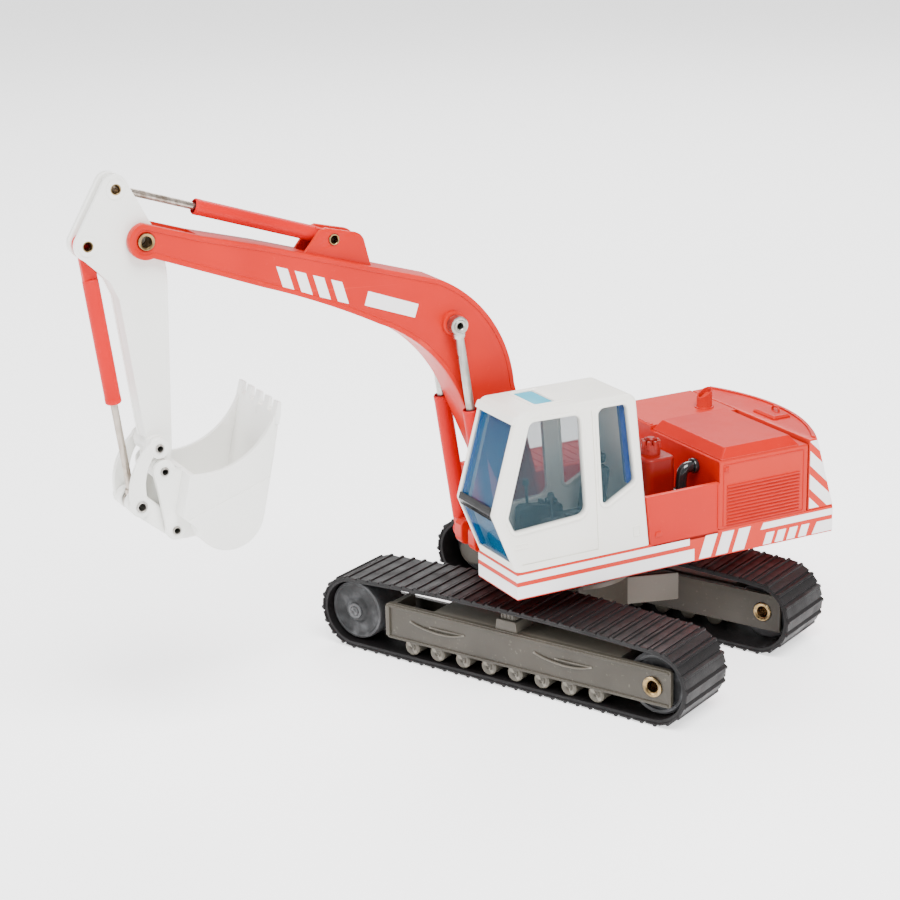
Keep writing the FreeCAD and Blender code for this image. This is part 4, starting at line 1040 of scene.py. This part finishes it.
def make_boom():
    """The boom, forked at its tip, its markings and its pins."""
    outline = drawn(BOOM_OUTLINE, 24)
    shape = Shape()
    shape.plate(0, 8.5, outline, [circle(*FOOT, FOOT_EYE), circle(*BOOM_CYLINDER_EYE, PIN_HOLE),
                                  circle(*TIP, 1.62)], 0.35, facets=3)
    slot = [(84.0, 88), (102, 88), (102, 112), (84.0, 112)]
    shape.cut(Shape().plate(0, 5.7, slot, bevel=0))
    # raised lips along both long edges
    edge, inside = grown(outline, -0.05), grown(outline, -1.05)
    for side in (-1, 1):
        shape.plate(side * 4.2, 0.5, edge, [inside], 0.16)
    boss(shape, BOOM_CYLINDER_EYE, 2.5, PIN_HOLE, 10.2)
    boss(shape, FOOT, 2.9, FOOT_EYE, 8.9)
    ear = drawn([(47.3, 90.5), (48.9, 97.0), (49.8, 98.2, 51.2, 98.8), (57.2, 100.3), (58.5, 99.9),
                 (62.6, 95.0)])
    for y in (-2.45, 2.45):
        shape.plate(y, 0.9, ear, [circle(*EAR, PIN_HOLE)], 0.2)
    shape.piece("boom_casting", "boom_arm", RED, "red_paint", ["boom"])

    # plain slanted blocks and a bar where the toy carries its lettering
    bands = Shape()
    run = Vector((-14.2, -5.1)).normalized()
    for y in (-4.28, 4.28):
        for n in range(4):
            x, z = Vector((67.4, 89.8)) + run * (4.1 * n)
            top = Vector((x, z)) + Vector((1.3, 4.6))
            foot_end, top_end = Vector((x, z)) + run * 2.5, top + run * 2.5
            bands.plate(y, 0.12, [(x, z), tuple(foot_end), tuple(top_end), tuple(top)], bevel=0)
        bar = [(50.0, 84.0), (38.9, 79.9), (38.0, 82.6), (49.1, 86.8)]
        bands.plate(y, 0.12, bar, bevel=0)
    bands.piece("boom_markings", "boom_arm", STRIPE, "white_paint")

    rivet(TIP, 1.58, 1.0, 9.3, 1.75, "tip_rivet", "boom_arm", "boom_tip_rivet", "brass")
    rivet(EAR, PIN, 0.68, 6.3, 1.2, "ear_pivot_rivet", "boom_arm", "ear_rivet", "brass")
    rivet(BOOM_CYLINDER_EYE, PIN, 0.66, 15.5, 1.3, "cylinder_cross_pin", "boom_arm", "boom_cylinder_pin",
          "steel")
    rivet(BOOM_CYLINDER_BASE, PIN, 0.0, 15.5, 1.3, "cylinder_base_pin", "upper_structure",
          "boom_cylinder_base_pin", "steel")
    rivet(FOOT, FOOT_PIN, 0.0, 13.1, 1.75, "foot_pin", "upper_structure", "boom_foot_pin", "steel")


def rivet(at, radius, hole, length, head, name, body, node, slot):
    """A pin across the arm with a turned head at each end; a hollow one has rolled rims."""
    half = length / 2
    rim = [(radius, half - 0.45), (head - 0.1, half - 0.45), (head, half - 0.35), (head, half - 0.2),
           (head - 0.15, half)]
    if hole:
        rim += [(hole + (head - hole) * 0.4, half), (hole + 0.1, half - 0.1), (hole, half - 0.35)]
    else:
        rim += [(head * 0.5, half), (0, half)]
    profile = rim[::-1] + [(r, -h) for r, h in rim]
    material = BRASS if slot == "brass" else STEEL
    Shape().lathe(across(at), profile, 40).piece(name, body, material, slot, [node])


def barrel(at, other, y, radius, bore, length, eye, width, neck, name, body, node):
    """A cylinder barrel in the arm's plane: eye, flat neck, plain tube and an open mouth."""
    shape = Shape()
    place = aimed(at, other, y)
    run = place @ Matrix.Rotation(math.pi / 2, 4, "Y")
    shape.lathe(run, [(0, neck), (radius - 0.3, neck), (radius - 0.04, neck + 0.3),
                      (radius - 0.04, length - 1.3), (radius, length - 1.2), (radius, length - 0.25),
                      (radius - 0.2, length), (bore + 0.1, length), (bore, length - 0.3),
                      (bore, neck + 3.2), (0, neck + 3.2)], 40)
    shape.plate(0, width, [(0, -1.4), (neck + 0.8, -1.4), (neck + 0.8, 1.4), (0, 1.4)], bevel=0.2,
                matrix=place)
    shape.lathe(place, ring_profile(PIN_EYE, eye, -width / 2, width / 2, 0.2), 40)
    shape.piece(name, body, CYLINDER_RED, "cylinder_red", [node])


def rod(at, other, y, radius, length, eye, width, name, body, material, node):
    """A cylinder rod in the arm's plane, with a ring eye and a chamfered far end."""
    shape = Shape()
    place = aimed(at, other, y)
    run = place @ Matrix.Rotation(math.pi / 2, 4, "Y")
    shape.lathe(run, [(0, PIN_EYE + 0.1), (radius, PIN_EYE + 0.1), (radius, length - 0.2),
                      (radius - 0.2, length), (0, length)], 32)
    shape.lathe(place, ring_profile(PIN_EYE, eye, -width / 2, width / 2, 0.2), 40)
    collar = [(0, eye - 0.35), (radius + 0.35, eye - 0.35), (radius + 0.4, eye + 0.25),
              (radius + 0.3, eye + 0.7), (0, eye + 0.7)]
    shape.lathe(run, collar, 32)
    shape.piece(name, body, material, "steel", [node])


def make_cylinders():
    """The lift, crowd and curl cylinders."""
    for side, sign in SIDES:
        y = sign * 6.4
        barrel(BOOM_CYLINDER_BASE, BOOM_CYLINDER_EYE, y, 1.78, 1.5, 31.2, 1.95, 2.2, 2.9,
               "lift_barrel_" + side, "boom_cylinder_barrels", "boom_cylinder_barrel_" + side)
        rod(BOOM_CYLINDER_EYE, BOOM_CYLINDER_BASE, y, 0.92, 23.4, 1.95, 2.2,
            "lift_rod_" + side, "boom_cylinder_rods", STEEL, "boom_cylinder_rod_" + side)
    barrel(EAR, STICK_TOP, 0, 1.6, 1.28, 29.5, 1.7, 3.1, 2.9,
           "crowd_barrel", "stick_barrel", "stick_cylinder_barrel")
    rod(STICK_TOP, EAR, 0, 0.72, 20.5, 1.7, 1.5, "crowd_rod", "stick_rod", BROWN_STEEL,
        "stick_cylinder_rod")
    barrel(BUCKET_CYLINDER_TOP, LINK_PIN, 0, 1.6, 1.28, 31.8, 2.1, 1.5, 6.8,
           "curl_barrel", "bucket_barrel", "bucket_cylinder_barrel")
    rod(LINK_PIN, BUCKET_CYLINDER_TOP, 0, 0.72, 23.5, 1.7, 1.5,
        "curl_rod", "bucket_rod", BROWN_STEEL, "bucket_cylinder_rod")


STICK_OUTLINE = [(91.7, 61.0), (90.5, 92.3), (91.0, 99.6, 93.4, 106.2), (97.2, 113.6),
                 (98.9, 115.4, 101.6, 114.6), (107.8, 104.2), (108.2, 101.8, 106.6, 99.9), (101.9, 95.2),
                 (100.4, 91.7), (96.7, 61.0), (96.6, 57.0), (94.6, 55.2, 92.6, 57.0)]


def make_stick():
    """The stick with its bosses and rivets."""
    outline = drawn(STICK_OUTLINE, 16)
    core = clipped(outline, [(80, 50), (120, 50), (120, 93.2), (108.0, 98.0), (101.5, 107.2),
                             (80, 103.2)])
    shape = Shape()
    bores = ((STICK_TOP, PIN_HOLE), (BUCKET_CYLINDER_TOP, PIN_HOLE), (TIP, 1.66),
             (ROCKER_PIVOT, SMALL_HOLE), (BUCKET_PIVOT, SMALL_HOLE))
    holes = [circle(*at, radius) for at, radius in bores]
    for y in (-1.82, 1.82):
        shape.plate(y, 1.5, outline, holes, 0.35, facets=3)
    shape.plate(0, 2.4, grown(core, -0.15), holes[2:], 0.0)
    edge, inside = grown(outline, -0.05), grown(outline, -0.85)
    for side in (-1, 1):
        shape.plate(side * 2.45, 0.28, edge, [inside], 0.08)
        for at, radius in ((STICK_TOP, 1.9), (BUCKET_CYLINDER_TOP, 1.9)):
            shape.lathe(across(at, side * 2.5), ring_profile(PIN_HOLE, radius, -0.25, 0.2, 0.1), 36)
    boss(shape, ROCKER_PIVOT, 2.15, SMALL_HOLE, 7.3)
    boss(shape, BUCKET_PIVOT, 2.15, SMALL_HOLE, 7.3)
    shape.piece("stick_casting", "stick_arm", WHITE, "white_paint", ["stick"])
    rivet(STICK_TOP, PIN, 0.68, 5.5, 1.2, "stick_head_rivet", "stick_arm", "stick_top_rivet", "brass")
    rivet(BUCKET_CYLINDER_TOP, PIN, 0.68, 5.5, 1.2, "curl_head_rivet", "stick_arm",
          "bucket_cylinder_rivet", "brass")
    rivet(ROCKER_PIVOT, SMALL_PIN, 0.5, 11.5, 0.88, "rocker_pin", "stick_arm", "rocker_rivet", "steel")
    rivet(BUCKET_PIVOT, SMALL_PIN, 0.5, 11.5, 0.88, "bucket_pin", "stick_arm", "bucket_rivet", "steel")


def make_links():
    """The rocker links and the coupler."""
    outline = drawn([(97.25, 62.87), (100.85, 57.9, 101.75, 51.81), (100.51, 48.95, 97.65, 50.19),
                     (98.3, 56.6, 96.65, 60.49), (93.9, 63.67, 97.25, 62.87)], 18)
    for side, sign in SIDES:
        shape = Shape()
        y = sign * 4.65
        shape.plate(y, 1.3, outline, [circle(*ROCKER_PIVOT, SMALL_EYE), circle(*LINK_PIN, PIN_HOLE)],
                    0.25, facets=3)
        for at, inner, outer in ((ROCKER_PIVOT, SMALL_EYE, 1.7), (LINK_PIN, PIN_HOLE, 1.95)):
            shape.lathe(across(at, y), ring_profile(inner, outer, -0.75, 0.75, 0.15), 36)
        shape.piece("rocker_arm_" + side, "rocker_pair", WHITE, "white_paint", ["rocker_link_" + side])
    rivet(LINK_PIN, PIN, 0.66, 11.5, 1.15, "link_pivot_rivet", "rocker_pair", "link_rivet", "steel")
    shape = Shape()
    outline = strap(LINK_PIN, COUPLER_PIN, 2.2, 1.9, 18)
    holes = [circle(*LINK_PIN, 1.42), circle(*COUPLER_PIN, SMALL_EYE)]
    for y in (-2.4, 2.4):
        shape.plate(y, 2.5, outline, holes, 0.35, facets=3)
    run = (Vector(COUPLER_PIN) - Vector(LINK_PIN)).normalized()
    side = Vector((-run.y, run.x))
    start, end = Vector(LINK_PIN) + run * 3.2, Vector(COUPLER_PIN) + run * 0.2
    web = [tuple(start - side * 1.8), tuple(end - side * 1.7), tuple(end + side * 1.7),
           tuple(start + side * 1.8)]
    shape.plate(0, 3.4, web, [circle(*COUPLER_PIN, SMALL_EYE)], 0.0)
    shape.piece("coupler_casting", "coupler_link", WHITE, "white_paint", ["coupler"])


def make_bucket():
    """The bucket with its ears, web and five teeth."""
    skin = drawn([(91.0, 56.9), (92.9, 48.6), (90.2, 46.1), (89.5, 43.8), (81.8, 40.4, 76.0, 46.2),
                  (73.3, 58.0), (71.6, 66.6), (72.7, 66.4), (79.2, 58.9, 88.0, 56.7)], 24)
    hollow = drawn([(89.85, 60.0), (89.85, 56.5), (91.2, 49.9), (88.3, 45.0), (82.1, 41.5, 77.2, 46.6),
                    (74.5, 58.4), (72.6, 66.6), (73.0, 72.0), (88.0, 72.0)], 24)
    shape = Shape().plate(0, 19.1, skin, bevel=0.25, facets=3)
    shape.cut(Shape().plate(0, 16.9, hollow, bevel=0))
    # thicker lower side plates and the pin ears
    lower = clipped(grown(skin, -0.1), [(74.3, 53.9), (70, 40), (100, 30), (100, 44), (92.4, 47.8)])
    for y in (-9.55, 9.55):
        shape.plate(y, 0.5, lower, bevel=0.12)
    ear = drawn([(90.4, 56.7), (91.9, 49.2), (89.2, 45.3), (88.3, 42.9), (92.5, 42.9),
                 (94.6, 43.8, 94.9, 45.6), (96.1, 53.3), (96.8, 56.9), (95.0, 59.5, 92.3, 57.8)], 16)
    for y in (-4.65, 4.65):
        shape.plate(y, 1.3, ear, [circle(*BUCKET_PIVOT, SMALL_EYE), circle(*COUPLER_PIN, SMALL_HOLE)],
                    0.25, facets=3)
        for at, inner, outer in ((BUCKET_PIVOT, SMALL_EYE, 1.8), (COUPLER_PIN, SMALL_HOLE, 1.7)):
            shape.lathe(across(at, y), ring_profile(inner, outer, -0.75, 0.75, 0.15), 36)
    web = rounded([(90.2, 45.6, 0), (92.2, 47.8, 0.4), (91.6, 51.6, 0.4), (90.6, 51.6, 0)])
    shape.plate(0, 8.4, web, bevel=0.2)
    tooth = [(72.95, 64.4), (72.75, 66.4), (72.0, 68.9), (71.25, 68.6), (71.5, 66.0), (71.95, 64.2)]
    for n in range(-2, 3):
        place = across((0, 0), 4.3 * n)
        shape.layers(place, [(-1.15, [grown(tooth, -0.12)]), (-0.95, [tooth]), (0.95, [tooth]),
                             (1.15, [grown(tooth, -0.12)])])
    shape.piece("bucket_casting", "bucket_scoop", WHITE, "white_paint", ["bucket"])
    rivet(COUPLER_PIN, SMALL_PIN, 0.5, 11.5, 0.88, "coupler_pin", "bucket_scoop", "coupler_rivet",
          "steel")


make_boom()
make_cylinders()
make_stick()
make_links()
make_bucket()

# ---------------------------------------------------------------- studio


def make_floor():
    """A white floor that glows a little."""
    look = Look("studio_floor", (0.93, 0.93, 0.935), 0.55)
    look.base(3, 2.0, (0.3, (0.92, 0.92, 0.925)), (0.7, (0.945, 0.945, 0.95)))
    look.shader.inputs["Emission Color"].default_value = (1, 1, 1, 1)
    look.shader.inputs["Emission Strength"].default_value = 1.3
    bpy.ops.mesh.primitive_plane_add(size=6.0, location=(0, 0, 0))
    floor = bpy.context.object
    floor.name = "studio_floor"
    floor.data.materials.append(look.material)


def make_light(name, place, target, sides, power):
    """An area light of two sides in metres, in watts, turned to a target."""
    data = bpy.data.lights.new(name, "AREA")
    data.shape = "RECTANGLE"
    data.size, data.size_y = sides
    data.energy = power
    lamp = bpy.data.objects.new(name, data)
    lamp.location = place
    lamp.rotation_euler = (Vector(target) - Vector(place)).to_track_quat("-Z", "Y").to_euler()
    bpy.context.scene.collection.objects.link(lamp)


def make_camera():
    """The camera, from its place, its viewing direction and its roll."""
    back = Vector((-0.5540, 0.7740, 0.3065)).normalized()
    right = Vector((-back.y, back.x, 0)).normalized()
    up = back.cross(right)
    roll = math.radians(-1.38)
    turned_right = math.cos(roll) * right + math.sin(roll) * up
    turned_up = math.cos(roll) * up - math.sin(roll) * right
    data = bpy.data.cameras.new("camera")
    data.lens = 89.51
    data.sensor_width = 36
    data.clip_start = 0.01
    camera = bpy.data.objects.new("camera", data)
    matrix = Matrix((turned_right, turned_up, back)).transposed().to_4x4()
    matrix.translation = Vector((-246.5, 389.05, 192.7)) * MM
    camera.matrix_world = matrix
    bpy.context.scene.collection.objects.link(camera)
    bpy.context.scene.camera = camera


make_floor()
world = bpy.data.worlds.new("studio")
world.use_nodes = True
world.node_tree.nodes["Background"].inputs["Color"].default_value = (1, 1, 1, 1)
world.node_tree.nodes["Background"].inputs["Strength"].default_value = 0.6
bpy.context.scene.world = world
make_light("key", (-0.35, 0.25, 0.75), (0, 0, 0.04), (0.5, 0.5), 15)
make_light("fill", (0.55, 0.55, 0.4), (0, 0, 0.05), (0.6, 0.4), 6)
make_light("back", (0.3, -0.6, 0.6), (0, 0, 0.05), (0.6, 0.4), 6)
make_camera()
